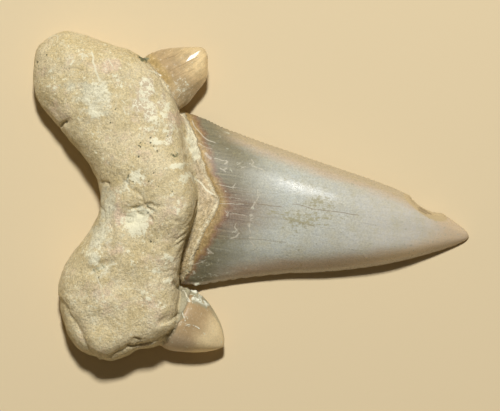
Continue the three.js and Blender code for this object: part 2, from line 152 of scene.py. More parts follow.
# Each cusp: the middle of its base, its heading and length, how far its neck reaches back, the
# height that parts its labial from its lingual face, and its tables.
CROWN = dict(
    base=(-9.0, -0.3), heading=math.radians(-7.7), length=CROWN_LENGTH, back=NECK_LENGTH,
    edge_height=1.5, stations=CROWN_STATIONS, enamel_line=CROWN_ENAMEL_LINE,
)
UPPER_CUSPLET = dict(
    base=(-12.9, 16.5), heading=math.radians(37.7), length=CUSPLET_LENGTH, edge_height=3.3,
    back=CUSPLET_NECK_LENGTH, stations=UPPER_CUSPLET_STATIONS, enamel_line=CUSPLET_ENAMEL_LINE,
)
LOWER_CUSPLET = dict(
    base=(-10.7, -17.7), heading=math.radians(-31.4), length=CUSPLET_LENGTH, edge_height=2.9,
    back=CUSPLET_NECK_LENGTH, stations=LOWER_CUSPLET_STATIONS, enamel_line=CUSPLET_ENAMEL_LINE,
)
CUSPS = [CROWN, UPPER_CUSPLET, LOWER_CUSPLET]

# The flake broken from the upper cutting edge, as the ellipsoid that it leaves.
CHIP = dict(along=34.6, across=4.55, height=2.8, lean=-0.4, half_sizes=(3.8, 2.0, 2.8))

# ------------------------------------------------------------------ marks, mm

# Creases of the root, and last the crevice between the boss and the neck.
CREASES = lines_of([
    (0.2, 0.2, -27.9, -14.5, -27.1, -15.5, -26.5, -16.4, -25.8, -17.5, -25, -18.5, -24.5, -19.5, -24,
     -21, -23.5, -22, -22.6, -23),
    (0.2, 0.2, -21.2, -23.2, -20.1, -22.6, -18.8, -22, -17.6, -21.3, -17.1, -21.5, -16.1, -21.2, -14.6,
     -21.1, -13.2, -20.6, -12, -20, -10.9, -19.3),
    (0.16, 0.35, -17.9, -21.4, -17.3, -21.8, -16.5, -21.7, -15.4, -21.6, -14.6, -21.3),
    (0.2, 0.3, -16.8, -20.3, -16.2, -20.6),
    (0.2, 0.35, -13, -18, -12.3, -17.9, -11.6, -17.7, -10.9, -17.2, -10.4, -16.8),
    (0.2, 0.3, -12.7, -20.3, -11.9, -20.1), (0.2, 0.3, -11.7, -19.6, -10.9, -19.1),
    (0.2, 0.45, -27.6, 10.2, -27.2, 10.5, -26.7, 10.7), (0.2, 0.3, -21.8, 2, -21.3, 2, -20.7, 1.9),
    (0.12, 0.3, -17.98, 2.19, -17.61, 1.6, -17.18, 1.02, -16.74, 0.65),
    (0.12, 0.28, -16.59, 1.02, -16.01, 0.29, -15.57, -0.44), (0.12, 0.15, -17.76, 2.48, -17.18, 2.19),
    (0.12, 0.15, -18.93, 3.06, -18.64, 2.48, -18.34, 2.04),
    (0.12, 0.2, -13.67, -1.17, -12.94, -1.46, -12.21, -1.32),
    (0.12, 0.22, -11.04, -6.43, -10.17, -5.84, -9.29, -5.11),
    (0.12, 0.2, -11.48, -7.3, -10.46, -6.57, -9.58, -6.13),
    (0.14, 0.2, -12.65, -10.81, -11.63, -10.52, -10.46, -10.66),
    (0.14, 0.22, -12.94, -11.83, -11.77, -11.54, -10.61, -11.83),
    (0.12, 0.2, -11.92, -13, -11.04, -12.71, -10.46, -13),
    (0.14, 0.25, -22.72, -8.76, -21.56, -9.64, -20.68, -9.79, -19.66, -9.05),
    (0.12, 0.2, -23.31, -10.22, -22.43, -10.52, -21.41, -10.22),
    (0.14, 0.2, -27.1, -15.19, -26.52, -16.06, -26.23, -17.08),
    (0.12, 0.2, -20.39, -3.8, -19.8, -4.67, -20.1, -5.7),
    (0.12, 0.2, -21.7, -1.32, -21.12, -2.34, -21.26, -3.51),
    (0.22, 0.35, -17, -1.7, -16.3, -1.6, -15.6, -1.3, -14.9, -1.1, -14.3, -1),
    (0.2, 0.3, -15.7, -0.6, -15.5, -1.2), (0.2, 0.3, -14.3, -1.2, -13.6, -1.5, -13.2, -1.5),
    (0.2, 0.25, -14.9, -1.6, -14.5, -2, -14, -2.2), (0.2, 0.35, -17.8, -2.9, -16.9, -3),
    (0.2, 0.35, -17.8, -3.5, -17.6, -3.7, -17.2, -3.7),
    (0.2, 0.3, -16.3, -2.3, -16.1, -2.6, -15.7, -2.6), (0.2, 0.25, -14.5, -3, -14.3, -3.2),
    (0.25, 0.2, -23.1, -10.7, -22.5, -10.6, -21.9, -10.2, -21.4, -9.6, -20.8, -9.3),
    (0.14, 0.3, -7.8, -0.7, -8.2, -2.7, -8.8, -4.3, -9.3, -6.3, -9.7, -7.5, -10, -8.6, -10.3, -9.8,
     -10.4, -11, -10.5, -11.8, -10.4, -12.9), (0.3, 0.5, -10.9, -12.2, -10.4, -13.1, -9.8, -13.3),
])

# Hairline cracks in the enamel.
HAIRLINES = lines_of([
    (0.09, 0.8, -12.5, 19.85, -11.34, 20.29, -10.17, 20.87),
    (0.08, 0.7, -11.92, 18.1, -10.46, 18.83, -9, 19.56, -7.98, 20),
    (0.09, 0.6, -11.48, 17.08, -10.02, 17.66, -8.42, 18.39),
    (0.08, 0.6, -12.94, 21.02, -11.63, 21.46, -10.46, 21.6),
    (0.07, 0.85, 5.89, -1.02, 7.5, -1.32, 8.81, -1.75, 11.44, -2.05, 12.9, -2.27, 15.24, -2.63),
    (0.07, 0.85, -1.7, -0.88, 1.51, -1.1, 4.14, -1.46),
    (0.05, 0.5, -3.45, 0.87, -0.24, 0.58, 1.51, 0.44), (0.05, 0.6, -4.33, -0.44, -0.82, -0.59),
    (0.05, 0.6, -4.04, -1.46, 0.05, -1.75), (0.05, 0.5, -3.74, -2.12, -0.82, -2.34),
    (0.06, 0.5, 0.64, -2.78, 4.43, -3.21, 8.23, -4.09, 12.02, -4.67),
    (0.07, 0.6, -5.35, -5.99, -2.28, -5.99, 1.51, -6.13, 4.87, -6.57),
    (0.05, 0.35, 7.35, -5.26, 11.44, -5.84, 14.65, -6.43), (0.05, 0.35, 14.65, -3.51, 18.74, -4.38),
    (0.05, 0.4, 9.4, -0.44, 12.9, -1.02), (0.05, 0.5, -4.33, 0.58, -1.99, 0.44),
    (0.05, 0.4, 1.51, -4.38, 5.02, -4.82), (0.06, 0.4, -4.62, -9.64, -2.28, -10.52, -0.24, -10.81),
    (0.2, 1.5, 24.4, -1.6, 24.85, -1.9, 25.4, -2.2), (0.1, 0.9, 24.2, -1.95, 24.75, -2.2, 25.3, -2.45),
    (0.11, 1, 25.1, -2.05, 25.6, -2.35, 26.1, -2.5),
    (0.08, 0.6, 24, -1.61, 24.58, -1.97, 25.31, -2.19),
])

# Fine wrinkles of the root and neck, which are not darkened like the creases.
WRINKLES = lines_of([
    (0.13, 0.09, -8.8, -2.7, -9.5, -3.7, -10.2, -4.7),
    (0.13, 0.11, -8.6, -3.5, -9.5, -4.4, -10.5, -5.3),
    (0.13, 0.09, -8.9, -4.4, -9.8, -5.3, -10.8, -6.2), (0.13, 0.11, -9.2, -5.4, -9.9, -6.2, -10.8, -7),
    (0.13, 0.09, -9.4, -6.2, -9.9, -6.9, -10.6, -7.9),
    (0.13, 0.09, -9.8, -7.2, -10.2, -7.7, -10.9, -8.7),
    (0.13, 0.08, -9.9, -8, -10.5, -8.7, -11.1, -9.3),
    (0.2, 0.14, -12, -3.7, -11.6, -3.3, -11.2, -3.5, -10.7, -3.6, -10.3, -3.4),
    (0.2, 0.12, -12.9, -3.9, -12.4, -3.5), (0.45, 0.16, -13.5, -11, -12.2, -11.3, -10.8, -11.1),
    (0.4, 0.15, -9.6, 5.4, -9.4, 4.4, -9.4, 3.4), (0.2, 0.08, -22.2, -11.2, -21.9, -12.2, -21.5, -13),
    (0.16, 0.1, -7.6, -4.6, -9, -6.6), (0.16, 0.1, -7.9, -5.8, -9.2, -7.6),
    (0.16, 0.1, -8, -6.9, -9.6, -8.9), (0.16, 0.08, -7.2, -3.9, -8.4, -5.4),
])

# Pits: place and radius.
PITS = [
    (-15.9, 7.7, 0.21), (-16.2, 7.3, 0.21), (-15.9, 7.1, 0.27), (-15.3, 7.6, 0.17), (-14.5, 8.4, 0.23),
    (-14.5, 7.7, 0.21), (-14.4, 7.3, 0.24), (-14.1, 7.2, 0.21), (-13.5, 6.5, 0.24), (-11.3, 5.9, 0.23),
    (-10.9, 5.9, 0.17), (-16.2, 5.7, 0.26), (-14.1, 5.2, 0.2), (-13.7, 3.9, 0.18), (-14, 3.4, 0.21),
    (-12.2, 3.3, 0.21), (-14.7, 2.2, 0.2), (-13.3, 1.4, 0.2), (-20.2, 10.6, 0.23), (-19.5, 12.5, 0.17),
    (-14.5, -6.4, 0.27), (-13.6, -5.9, 0.2), (-14, -6.4, 0.14), (-17.7, 3, 0.31), (-17, 2.2, 0.21),
    (-15.9, 10, 0.19), (-18.7, -4.5, 0.17), (-31.1, 19.5, 0.23), (-29.6, 20.4, 0.22),
    (-11.4, 0.8, 0.21), (-21.4, -7.6, 0.16), (-21.9, -11.5, 0.14), (-12.1, 8.7, 0.16),
    (-15.7, 20, 0.24), (-15.2, 19.6, 0.24), (-16.2, 20.2, 0.2), (-17.4, -3, 0.2), (-17.5, -3.6, 0.2),
    (-14.9, -2.3, 0.21), (-12.7, -4.1, 0.17), (-14.7, -5.1, 0.16), (-11.9, -5.3, 0.16),
]

# Stains, worn spots and crusts by kind, with some patches of painted light and shade among them:
# place, half-sizes, strength and, where it is turned, the turn in degrees.
PATCHES = {
    "white": [
        (-16.3, 2.9, 1.14, 0.64, 1), (-16.6, -3.7, 1.71, 1.71, 1), (-15.4, -1.9, 1.28, 0.5, 0.8),
        (-10.7, 4.4, 1.2, 0.4, 1.5, 8), (-9.6, 2.8, 0.43, 0.57, 0.8, 40), (-22.5, 12, 0.57, 0.57, 0.9),
        (-21.7, 12, 1, 0.86, 0.4), (-11.6, 0.5, 0.34, 0.17, 1.2, -30), (-11.9, -8.6, 1, 0.28, 0.9),
        (-12.5, -9.3, 0.36, 0.71, 0.6, -30), (-15.6, -13.4, 0.71, 0.21, 0.8),
        (-14.9, -14.3, 0.5, 0.43, 0.8), (-13.7, -10.7, 0.64, 0.26, 0.7),
        (-11.9, -11.9, 1.28, 0.43, 0.5), (-13.8, 11, 0.86, 0.43, 0.8, -30),
        (-12.3, 12.9, 0.57, 0.65, 0.8), (-12.4, 11.6, 0.64, 0.5, 0.9), (-13.3, 7.9, 1, 0.57, 0.8, -20),
        (-15.4, 16.6, 0.5, 0.36, 0.8), (-15.5, 14.8, 0.57, 1, 0.5), (-14.8, 13.1, 0.72, 1, 0.5, 30),
        (-8.8, 8.3, 0.5, 1.29, 0.7, 20), (-8.4, 6.4, 0.57, 1.29, 1, 20), (-28.8, 18.1, 0.26, 0.2, 1),
        (-28.6, 15.8, 0.22, 0.17, 1), (-29.1, 15.9, 0.17, 0.14, 1), (-27.1, 20.8, 0.17, 0.14, 1),
        (-24.1, 17.3, 0.21, 0.17, 0.9), (-23.4, 13.6, 0.21, 0.17, 0.9), (-24.5, 11.1, 0.29, 0.13, 1.1),
        (-26.1, 19.2, 0.43, 0.14, 0.5, 20), (-19.7, -20.2, 0.19, 0.57, 0.5),
        (-25.4, -19.8, 0.58, 0.72, 0.3), (-17.9, -7.9, 0.43, 0.28, 0.6),
        (-17, -9.6, 0.57, 0.36, 0.5, -40), (-25.3, -14.8, 0.57, 0.29, 0.4),
        (-10.7, -1.6, 0.42, 0.85, 0.6), (-21.2, -14.9, 0.43, 0.86, 0.4, 10),
        (-22.7, -15.6, 0.43, 0.29, 0.4), (-19.4, 17.1, 0.57, 0.43, 0.6), (-18.8, 16, 0.43, 0.72, 0.5),
        (-20.7, 15.2, 0.43, 0.57, 0.5), (-21.9, 16.2, 0.71, 0.57, 0.4), (-12.5, 9.5, 0.71, 0.71, 0.4),
        (-12.7, -15.6, 0.72, 0.72, 0.4), (-10.7, -18, 0.57, 0.43, 0.3), (-20.6, -2, 0.43, 1.29, 0.5),
        (-20.7, -4.3, 0.43, 0.72, 0.6, 20), (-22.3, -8.5, 0.43, 1.29, 0.6),
        # (-11.2, 9.8) and (-14.8, 9.6) are painted light: pale patches on slopes that the light leaves
        # too dark.
        (-23.6, -8.2, 0.72, 0.43, 0.5), (-18.8, 0.8, 0.5, 0.19, 0.9, -8), (-11.2, 9.8, 0.9, 0.9, 0.45),
        (-14.8, 9.6, 1, 0.8, 0.4), (-9.9, 15.6, 1.3, 0.8, 0.45, 40),
    ],
    "grey": [
        (-22.8, 14.4, 2.43, 2.14, 1), (-26.1, 15.5, 1.15, 1, 0.7), (-21.1, 12.5, 1.28, 1.28, 0.7),
        (-20.6, -1.3, 1.2, 2.3, 1.15), (-22, -5.6, 1.29, 1.86, 1.1, -20),
        (-22.8, -8.5, 1.14, 1.43, 0.9), (-19.9, -6.3, 1.14, 1.14, 0.6),
        (-22.8, -16.6, 1, 2.15, 0.5, -8), (-21.4, -10.6, 1.86, 0.86, 0.6, 20),
        (-18, 1.8, 0.71, 1.14, 0.6), (-15.9, -2, 1.99, 0.71, 0.5), (-19.1, -5.6, 0.86, 1.14, 0.5),
        (-24.8, -21.5, 1.16, 1.16, 0.4),
    ],
    "pink": [
        (-20.6, 18.7, 1.57, 1.29, 1), (-23.4, 19.1, 1.43, 1.72, 0.6), (-18.8, -2.7, 0.71, 2, 1),
        (-19.8, -7.7, 1.14, 1.14, 0.9, -20), (-22.3, -6.8, 1.14, 1, 0.5), (-20.9, -13.2, 2, 1.71, 0.6),
        (-14.5, -15.3, 2.29, 1.72, 0.6), (-14.5, -3.7, 0.57, 1.14, 0.8), (-11.4, -1.3, 1.13, 1.7, 0.8),
        (-15.9, 6.5, 1.99, 1.42, 0.5), (-28.6, 12.7, 1.15, 1.3, 0.6), (-12.3, -4.9, 1.71, 1.42, 0.4),
        (-10.9, 11.3, 1.29, 1.15, 1), (-14.8, -9.4, 1.71, 1.28, 0.5), (-17.6, 6.5, 0.57, 2.28, 0.5),
        (-19.1, -14, 1, 1.14, 0.6), (-25.5, -21.8, 0.72, 0.58, 0.6), (-21.1, -22.2, 1.73, 0.86, 0.4),
        (-20.2, 13, 1.14, 0.86, 0.3), (-26.3, 14.2, 1, 0.72, 0.4), (-26.3, 18.5, 0.72, 0.72, 0.5),
    ],
    "ochre_and_painted_shade": [
        # The first five patches are painted shade: darker places where the light leaves the root too
        # bright.
        (-23.4, 20.7, 2.6, 1.6, 0.9), (-18, -13.6, 1.7, 1.4, 0.8), (-16.8, -9, 1.6, 1.2, 0.9),
        (-28, 20.6, 1.8, 1.5, 1), (-26.6, -12.6, 1.4, 1.6, 0.6), (-23.9, 22.1, 4.3, 0.86, 1, -10),
        (-18.2, 20.5, 3.15, 0.86, 1, -14), (-25, 11.6, 1.15, 0.57, 1), (-22.6, 9.4, 0.43, 1.14, 0.9),
        (-29, 15.2, 1.29, 0.86, 0.4), (-11.7, 9.2, 0.86, 0.64, 1.1), (-9, 0.8, 0.99, 1.98, 0.8),
        (-11.6, -7.3, 1.28, 0.99, 0.9), (-16.7, -16.8, 1.72, 1.57, 0.8),
        (-24.6, -15.2, 1.43, 0.86, 0.6, -20), (-18.2, -18.6, 2.6, 1.7, 0.9),
        (-26.4, -18.1, 0.86, 1.44, 0.2, 25), (-24.9, -7.1, 0.57, 1.15, 0.7, -30),
        (-21.8, -19.5, 3.2, 1.9, 0.8), (-27.1, 19.5, 2.01, 1.43, 0.25), (-19.8, 13.7, 0.71, 1.43, 0.4),
        (-12.3, 6.5, 1.99, 1.14, 0.4), (-14.5, -7.7, 1.14, 0.85, 0.5), (-16.3, 3.4, 2.27, 1.71, 0.25),
        (-27.5, 22.4, 1.44, 0.72, 0.3, 20), (-20.3, -17.8, 1.14, 1.14, 0.5),
    ],
    "green": [
        (-15.7, 19.95, 0.8, 0.42, 1.6, -25), (-11.1, 5.9, 0.5, 0.19, 1.1),
        (-13.5, 6.5, 0.28, 0.23, 0.9), (-29.6, 20.4, 0.29, 0.22, 0.8), (-31.1, 19.6, 0.36, 0.36, 0.8),
        (-21.9, -10.3, 1, 0.37, 0.9, 28), (-17.7, 3, 0.28, 0.43, 1.1), (-30.8, 20.3, 0.87, 0.58, 0.4),
        (-28, 15.8, 1.01, 0.36, 0.5, 10), (-10, -17.2, 0.43, 1.01, 0.8),
        (-19.8, -6, 0.43, 0.86, 0.5, -20), (-14.2, -2, 0.71, 0.23, 0.8, -25),
        (-25.4, -19.9, 0.72, 0.72, 0.5), (-16.6, -1.6, 0.71, 0.17, 0.8),
        (-20.6, -1.3, 0.43, 0.36, 0.5), (-15.6, 3.7, 0.71, 0.21, 0.6, -30),
        (-9.9, -13.9, 0.29, 0.72, 0.8), (-8.2, -14, 1.44, 0.43, 0.6, -20),
        (-9.6, -10.4, 0.43, 1.43, 0.4, -10), (-11.6, 5.5, 0.71, 0.57, 0.4),
        (-13.9, 16.9, 0.72, 0.57, 0.4), (-17.32, -1.61, 0.44, 0.18, 1.1, -10),
        (-16.3, -1.32, 0.5, 0.18, 1.2, -20), (-15.42, -1.75, 0.44, 0.15, 1.1, -30),
        (-16.88, -2.34, 0.23, 0.15, 1.1), (-14.84, -1.32, 0.36, 0.15, 1, -20),
        (-18.05, -3.36, 0.22, 0.29, 1), (-15.86, -2.48, 0.29, 0.15, 0.9, 20),
        (-18.34, -2.48, 0.22, 0.15, 0.9), (-9.15, -10.52, 0.23, 0.58, 0.9),
        (-9.73, -12.12, 0.22, 0.58, 0.9), (-8.71, -11.83, 0.44, 0.22, 0.8, -40),
        (-6.96, -11.1, 0.44, 0.18, 0.6), (-7.83, -10.08, 0.36, 0.18, 0.6, -20),
    ],
    "crown white": [
        (-1.48, 4.6, 0.8, 0.53, 0.45, 5), (0.2, 4.38, 0.32, 0.23, 0.6),
        (-3.6, 9.34, 0.51, 0.23, 0.7, -25), (-4.62, 8.46, 0.36, 0.23, 0.6, -25),
        (-3.01, 3.65, 0.13, 0.26, 0.9), (-1.99, 4.01, 0.12, 0.12, 0.9), (-1.99, 3.21, 0.13, 0.2, 0.8),
        (-4.47, 3.06, 0.13, 0.12, 0.9), (-2.21, 2.99, 0.13, 0.12, 0.8), (0.56, -0.73, 0.2, 0.23, 0.8),
        (0.05, -1.61, 0.16, 0.2, 0.8), (-0.17, -2.92, 0.26, 0.35, 0.45),
        (-0.44, -4.02, 0.15, 0.23, 0.9), (-0.09, -6.28, 0.35, 0.38, 0.5, -30),
        (0.85, -9.35, 0.29, 0.73, 0.45, -10), (-2.43, -5.11, 0.35, 0.23, 0.6, 20),
        (-1.85, -5.4, 0.18, 0.29, 0.6), (-4.04, -6.13, 0.35, 0.15, 0.5),
        (-4.77, -5.99, 0.29, 0.12, 0.5), (-6.08, -7.96, 0.29, 0.2, 0.8, 30),
        (-7.98, -12.71, 0.38, 0.29, 1.2), (-8.42, -11.1, 0.44, 0.32, 0.8, -30),
        (-7.54, -11.83, 0.73, 0.26, 0.6, -10), (-5.64, -11.39, 0.88, 0.18, 0.6, -6),
        (-2.87, -11.1, 1.3, 0.15, 0.5, -3), (-9, -10.37, 0.29, 0.29, 0.7),
        (-6.66, -9.64, 0.58, 0.29, 0.5, -10), (-5.2, -9.2, 0.44, 0.18, 0.5),
        (-0.68, -10.37, 0.73, 0.15, 0.4), (-6.37, -10.66, 0.44, 0.23, 0.5, -10),
        (3.56, 2.92, 0.58, 0.18, 0.2, -8), (2.83, 2.19, 0.58, 0.15, 0.3, -8),
        (-3.74, 1.02, 0.15, 0.2, 0.5),
    ],
    # Crumpled, crusted ground with a pattern of fine ridges.
    "worm": [
        (-15.28, 15.18, 1, 2.2, 1, -8), (-16.15, 13.28, 0.88, 1.3, 0.8, -8),
        (-14.69, 12.26, 1, 1.5, 0.8), (-12.94, 13.43, 0.58, 1.5, 0.6),
        (-17.32, 15.76, 0.44, 0.88, 0.4), (-11.92, 8.9, 0.58, 1.8, 0.7, -15),
    ],
    # Brown specks that have soaked into the crown.
    "olive": [
        (9.5, -0.95, 2.5, 1, 0.95, -8), (7.3, -3.3, 3.1, 1.3, 0.95, -8),
        (10.86, -2.78, 1.6, 0.44, 0.7, -8), (3.56, -2.48, 1.5, 0.44, 0.6, -6),
        (4.87, 2.62, 1.5, 0.29, 0.4, -12), (2.68, -6.43, 1.8, 0.29, 0.4, -6),
        (13.63, -3.07, 2, 0.44, 0.4, -8), (5.6, -4.97, 1.8, 0.35, 0.7, -8),
        (-1.99, 5.84, 1, 0.35, 0.6, -25), (-0.82, 5.69, 0.73, 0.29, 0.5, -25),
    ],
}

# Pale veins on the root and neck.
VEINS = lines_of([
    (0.16, 1.1, -23, 20.7, -22.8, 19.9, -22.8, 19.3, -22.5, 18.6, -22.4, 18, -22.1, 17.4, -21.8, 16.6),
    (0.14, 0.9, -24.8, 20.4, -24.3, 20.5, -23.6, 20.1), (0.13, 0.8, -24.4, 20.6, -24.3, 19.7),
    (0.17, 1.5, -9.1, 3.5, -8.4, 2.7, -7.4, 2, -6.7, 1.1, -5.7, 0.4), (0.13, 1.1, -8.9, 3, -8.4, 2),
    (0.16, 1, -17.5, 0.8, -18, 1.6, -17.7, 2.7), (0.1, 0.7, -22.2, -11.2, -21.9, -12.2, -21.5, -13),
    (0.14, 0.7, -22.1, -9.5, -22.3, -8.3, -22.8, -7.2, -23.6, -7.9),
    (0.13, 1, -21.9, -10.4, -21.1, -10, -20.2, -9.7, -19.4, -9.6),
    (0.17, 0.7, -21, -0.6, -20.4, 0, -20, -1.2, -20.6, -2.3),
    (0.17, 0.7, -21.3, -2.6, -20.8, -3.8, -20.6, -4.8), (0.11, 0.8, -11.4, -9.4, -10.1, -9),
    (0.11, 0.8, -20.6, 19.7, -20, 18.7), (0.11, 0.9, -18.7, 13.8, -18.2, 13.3),
    (0.11, 0.8, -18.4, 12.6, -18.1, 11.8), (0.11, 0.7, -21.5, -13.6, -21.2, -15),
    (0.1, 0.8, -27.3, 9.6, -26.5, 8.2, -25.4, 6.9, -24.4, 6.3, -23.3, 5.7),
    (0.1, 0.8, -29.5, 22.9, -28.7, 23.4, -28.1, 23.2, -28, 22.6),
    (0.11, 0.5, -21.7, 11.1, -22.7, 11.3), (0.13, 0.8, -14.9, 18.3, -13.9, 18, -13.1, 17.5),
    (0.13, 0.8, -16, 15.6, -16.1, 14.1, -15.7, 13.6),
    (0.13, 0.8, -15.1, 14.4, -14.8, 13.4, -14.1, 12.6),
    (0.11, 0.6, -17.6, -13.1, -15.9, -13.3, -14.8, -13.6),
    (0.13, 1.1, -9.9, -13.3, -9.5, -14.3, -8.9, -15.1), (0.11, 0.6, -17.9, -7.9, -16.9, -8.6),
    (0.11, 0.5, -10, 4.8, -9.4, 6.3, -9.5, 8, -10.1, 9.4), (0.1, 0.4, -15.8, -8.6, -15.1, -9.4),
])

# Pale scratches in the enamel.
SCRATCHES = lines_of([
    (0.1, 1.1, -8.71, 10.95, -8.12, 9.92, -7.1, 8.76, -6.23, 8.17, -5.35, 7.88),
    (0.08, 0.6, -7.83, 7.74, -6.52, 7, -5.79, 6.86),
    (0.22, 0.8, -6.66, 6.27, -6.37, 5.84, -5.93, 5.54),
    (0.08, 0.8, -4.77, 1.75, -3.74, 1.53, -2.87, 1.31, -2.43, 1.89),
    (0.08, 0.7, -2.87, 1.31, -2.65, 1.02), (0.08, 0.7, -5.35, 5.54, -4.47, 5.25, -3.74, 5.18),
    (0.1, 0.9, -3.74, 5.18, -3.52, 4.96, -3.96, 4.74),
    (0.1, 0.8, -4.62, 4.08, -4.18, 3.87, -3.74, 4.16), (0.12, 0.8, -4.11, 3.87, -3.89, 3.65),
    (0.07, 0.6, -4.62, 0, -3.16, -0.08, -1.7, -0.29),
    (0.08, 0.85, -4.62, -1.02, -3.01, -1.02, -1.41, -1.11),
    (0.08, 0.6, -2.87, -2.34, -1.99, -2.48, -1.12, -2.63),
    (0.07, 0.6, -3.89, -2.05, -3.45, -2.48, -3.6, -2.92), (0.07, 0.6, -3.31, -2.05, -3.74, -2.63),
    (0.08, 0.7, -9.15, -10.08, -7.98, -9.64, -6.66, -9.13),
    (0.16, 0.9, -6.37, -7.59, -6.08, -7.89, -5.64, -8.18), (0.12, 0.7, -6.23, -8.18, -5.93, -8.03),
    (0.09, 0.8, -2.28, -3.8, -2.58, -4.38, -2.28, -4.82),
    (0.14, 0.9, -3.01, -5.99, -2.28, -5.7, -1.85, -5.26), (0.16, 0.9, -0.39, -3.8, -0.44, -4.24),
    (0.12, 0.7, -0.39, -4.82, -0.27, -5.26), (0.1, 0.7, 0.2, -6.86, 0.49, -7.3),
    (0.1, 0.7, 0.78, 0.87, 0.93, 0, 0.49, -0.73, 0.64, -1.32),
    (0.14, 0.8, 0.34, -0.73, 0.2, -1.17, -0.09, -1.61),
    (0.1, 0.6, -0.39, 4.81, 0.49, 4.23, 1.66, 3.79), (0.1, 0.8, -0.09, 5.4, 0.2, 4.96, -0.09, 4.67),
    (0.12, 0.6, 0.64, -8.76, 0.93, -9.35, 1, -10.08), (0.12, 0.8, -0.39, -2.63, -0.02, -2.56),
    (0.12, 0.7, -0.24, -3.29, 0.12, -3.07), (0.14, 0.8, -0.39, -5.92, 0.05, -5.84),
    (0.14, 0.8, -0.17, -6.43, 0.27, -6.94), (0.12, 0.5, -1.99, 4.74, -1.55, 4.96),
    (0.12, 0.5, -1.55, 4.16, -0.97, 4.3),
])

# Raised white growths about the lower cusplet.
CRUSTS = lines_of([
    (0.2, 1, -9.8, -13.36, -9, -13.51, -8.12, -13.95, -7.39, -14.53),
    (0.28, 1, -8.56, -14.75, -7.69, -15.01, -7.1, -15.36, -6.52, -15.77),
    (0.11, 0.55, -10.09, -13.87, -9.73, -14.46, -9.29, -14.97, -8.85, -15.26),
    (0.12, 0.45, -10.09, -16.5, -9.8, -17.23, -9.66, -17.82),
    (0.08, 0.35, -9.58, -18.47, -8.85, -18.33, -8.12, -18.69, -7.54, -19.06),
    (0.35, 1, -8.2, -12.78, -7.76, -12.71), (0.2, 0.7, -9.58, -13.14, -8.71, -13.07),
])

LINES = dict(crease=CREASES, hairline=HAIRLINES, vein=VEINS, scratch=SCRATCHES, crust=CRUSTS)

# The two creases beside which the lobe steps down, and how far the step reaches.
TERRACES = [(CREASES[0][2], 3.0), (CREASES[1][2], 2.5)]
TERRACE_DEPTH = 0.3

# Small relief: the height of bumps on the root and on the neck by their spacing, then of the rest.
ROOT_BUMPS = {3.6: 0.15, 1.7: 0.08, 0.85: 0.05, 0.5: 0.03}
NECK_BUMPS = {0.85: 0.06, 0.5: 0.05}
PIT_DEPTH = 0.12
GROWTH_HEIGHT = 0.2
CREST_RISE = 0.3

# How far noise moves patches, by its wide and its fine part, and lines from where they are drawn.
PATCH_WANDER, LINE_WANDER = (0.35, 0.2), 0.07

# The narrow worn facet along the upper cusplet's crest, which catches the light.
FACET = dict(
    line=[(-9.5, 19.4), (-7.4, 21.15)], half_width=0.42, middle=(20.29, 6.5), fall=0.25, share=0.85,
)

# ------------------------------------------------------------------ curves and distances


def smooth_through(places, values, where):
    """A smooth curve through values at increasing places, held level beyond its ends."""
    places, values = np.array(places, float), np.array(values, float)
    ahead = np.append(np.arange(1, len(values)), len(values) - 1)
    behind = np.append(0, np.arange(len(values) - 1))
    slope = (values[ahead] - values[behind]) / (places[ahead] - places[behind])
    where = np.clip(where, places[0], places[-1])
    i = np.clip(np.searchsorted(places, where, side="right") - 1, 0, len(places) - 2)
    span = places[i + 1] - places[i]
    t = (where - places[i]) / span
    rise = values[i + 1] - values[i]
    leaving, arriving = slope[i] * span, slope[i + 1] * span
    bend = 3 * rise - 2 * leaving - arriving
    twist = leaving + arriving - 2 * rise
    return values[i] + t * (leaving + t * (bend + t * twist))


def spline(points, steps):
    """A Catmull-Rom curve through points, evenly stepped from the first to the last."""
    p = np.array(points, float)
    at = np.linspace(0, len(p) - 1, steps + 1)
    i = np.minimum(at.astype(int), len(p) - 2)
    t = (at - i)[:, None]
    before, here = p[np.maximum(i - 1, 0)], p[i]
    following, after = p[i + 1], p[np.minimum(i + 2, len(p) - 1)]
    leaving, arriving = (following - before) / 2, (after - here) / 2
    cubic = 2 * here - 2 * following + leaving + arriving
    square = 3 * following - 3 * here - 2 * leaving - arriving
    return ((cubic * t + square) * t + leaving) * t + here


def distance_to_line(x, y, points):
    nearest = np.full(np.shape(x), np.inf)
    for (ax, ay), (bx, by) in zip(points[:-1], points[1:]):
        dx, dy = bx - ax, by - ay
        t = np.clip(((x - ax) * dx + (y - ay) * dy) / (dx * dx + dy * dy), 0, 1)
        nearest = np.minimum(nearest, np.hypot(x - ax - t * dx, y - ay - t * dy))
    return nearest


def inside(x, y, points):
    within = np.zeros(np.shape(x), bool)
    for (ax, ay), (bx, by) in zip(points, np.roll(points, -1, axis=0)):
        if ay != by:
            crosses = (ay > y) != (by > y)
            within ^= crosses & (x < ax + (y - ay) * (bx - ax) / (by - ay))
    return within


def smooth_union(a, b, reach):
    h = np.clip(0.5 + 0.5 * (b - a) / reach, 0, 1)
    return b + (a - b) * h - reach * h * (1 - h)


def smooth_step(value, low, high):
    t = np.clip((value - low) / (high - low), 0, 1)
    return t * t * (3 - 2 * t)


def pressed_in(x, y, hollows):
    return sum(d * np.exp(-((distance_to_line(x, y, line) / w) ** 2)) for w, d, line in hollows)


# ------------------------------------------------------------------ the tooth's form
# Each part of the tooth is a distance, negative inside. Maps depend on x and y alone, so that a
# grid works them out once for each column.

NOTCH_EDGE = spline([rib[0] for rib in ROOT_RIBS], 110)
CROWN_EDGE = spline([rib[1] for rib in ROOT_RIBS], 110)
ROOT_OUTLINE = np.vstack([NOTCH_EDGE, CROWN_EDGE[::-1][1:-1]])


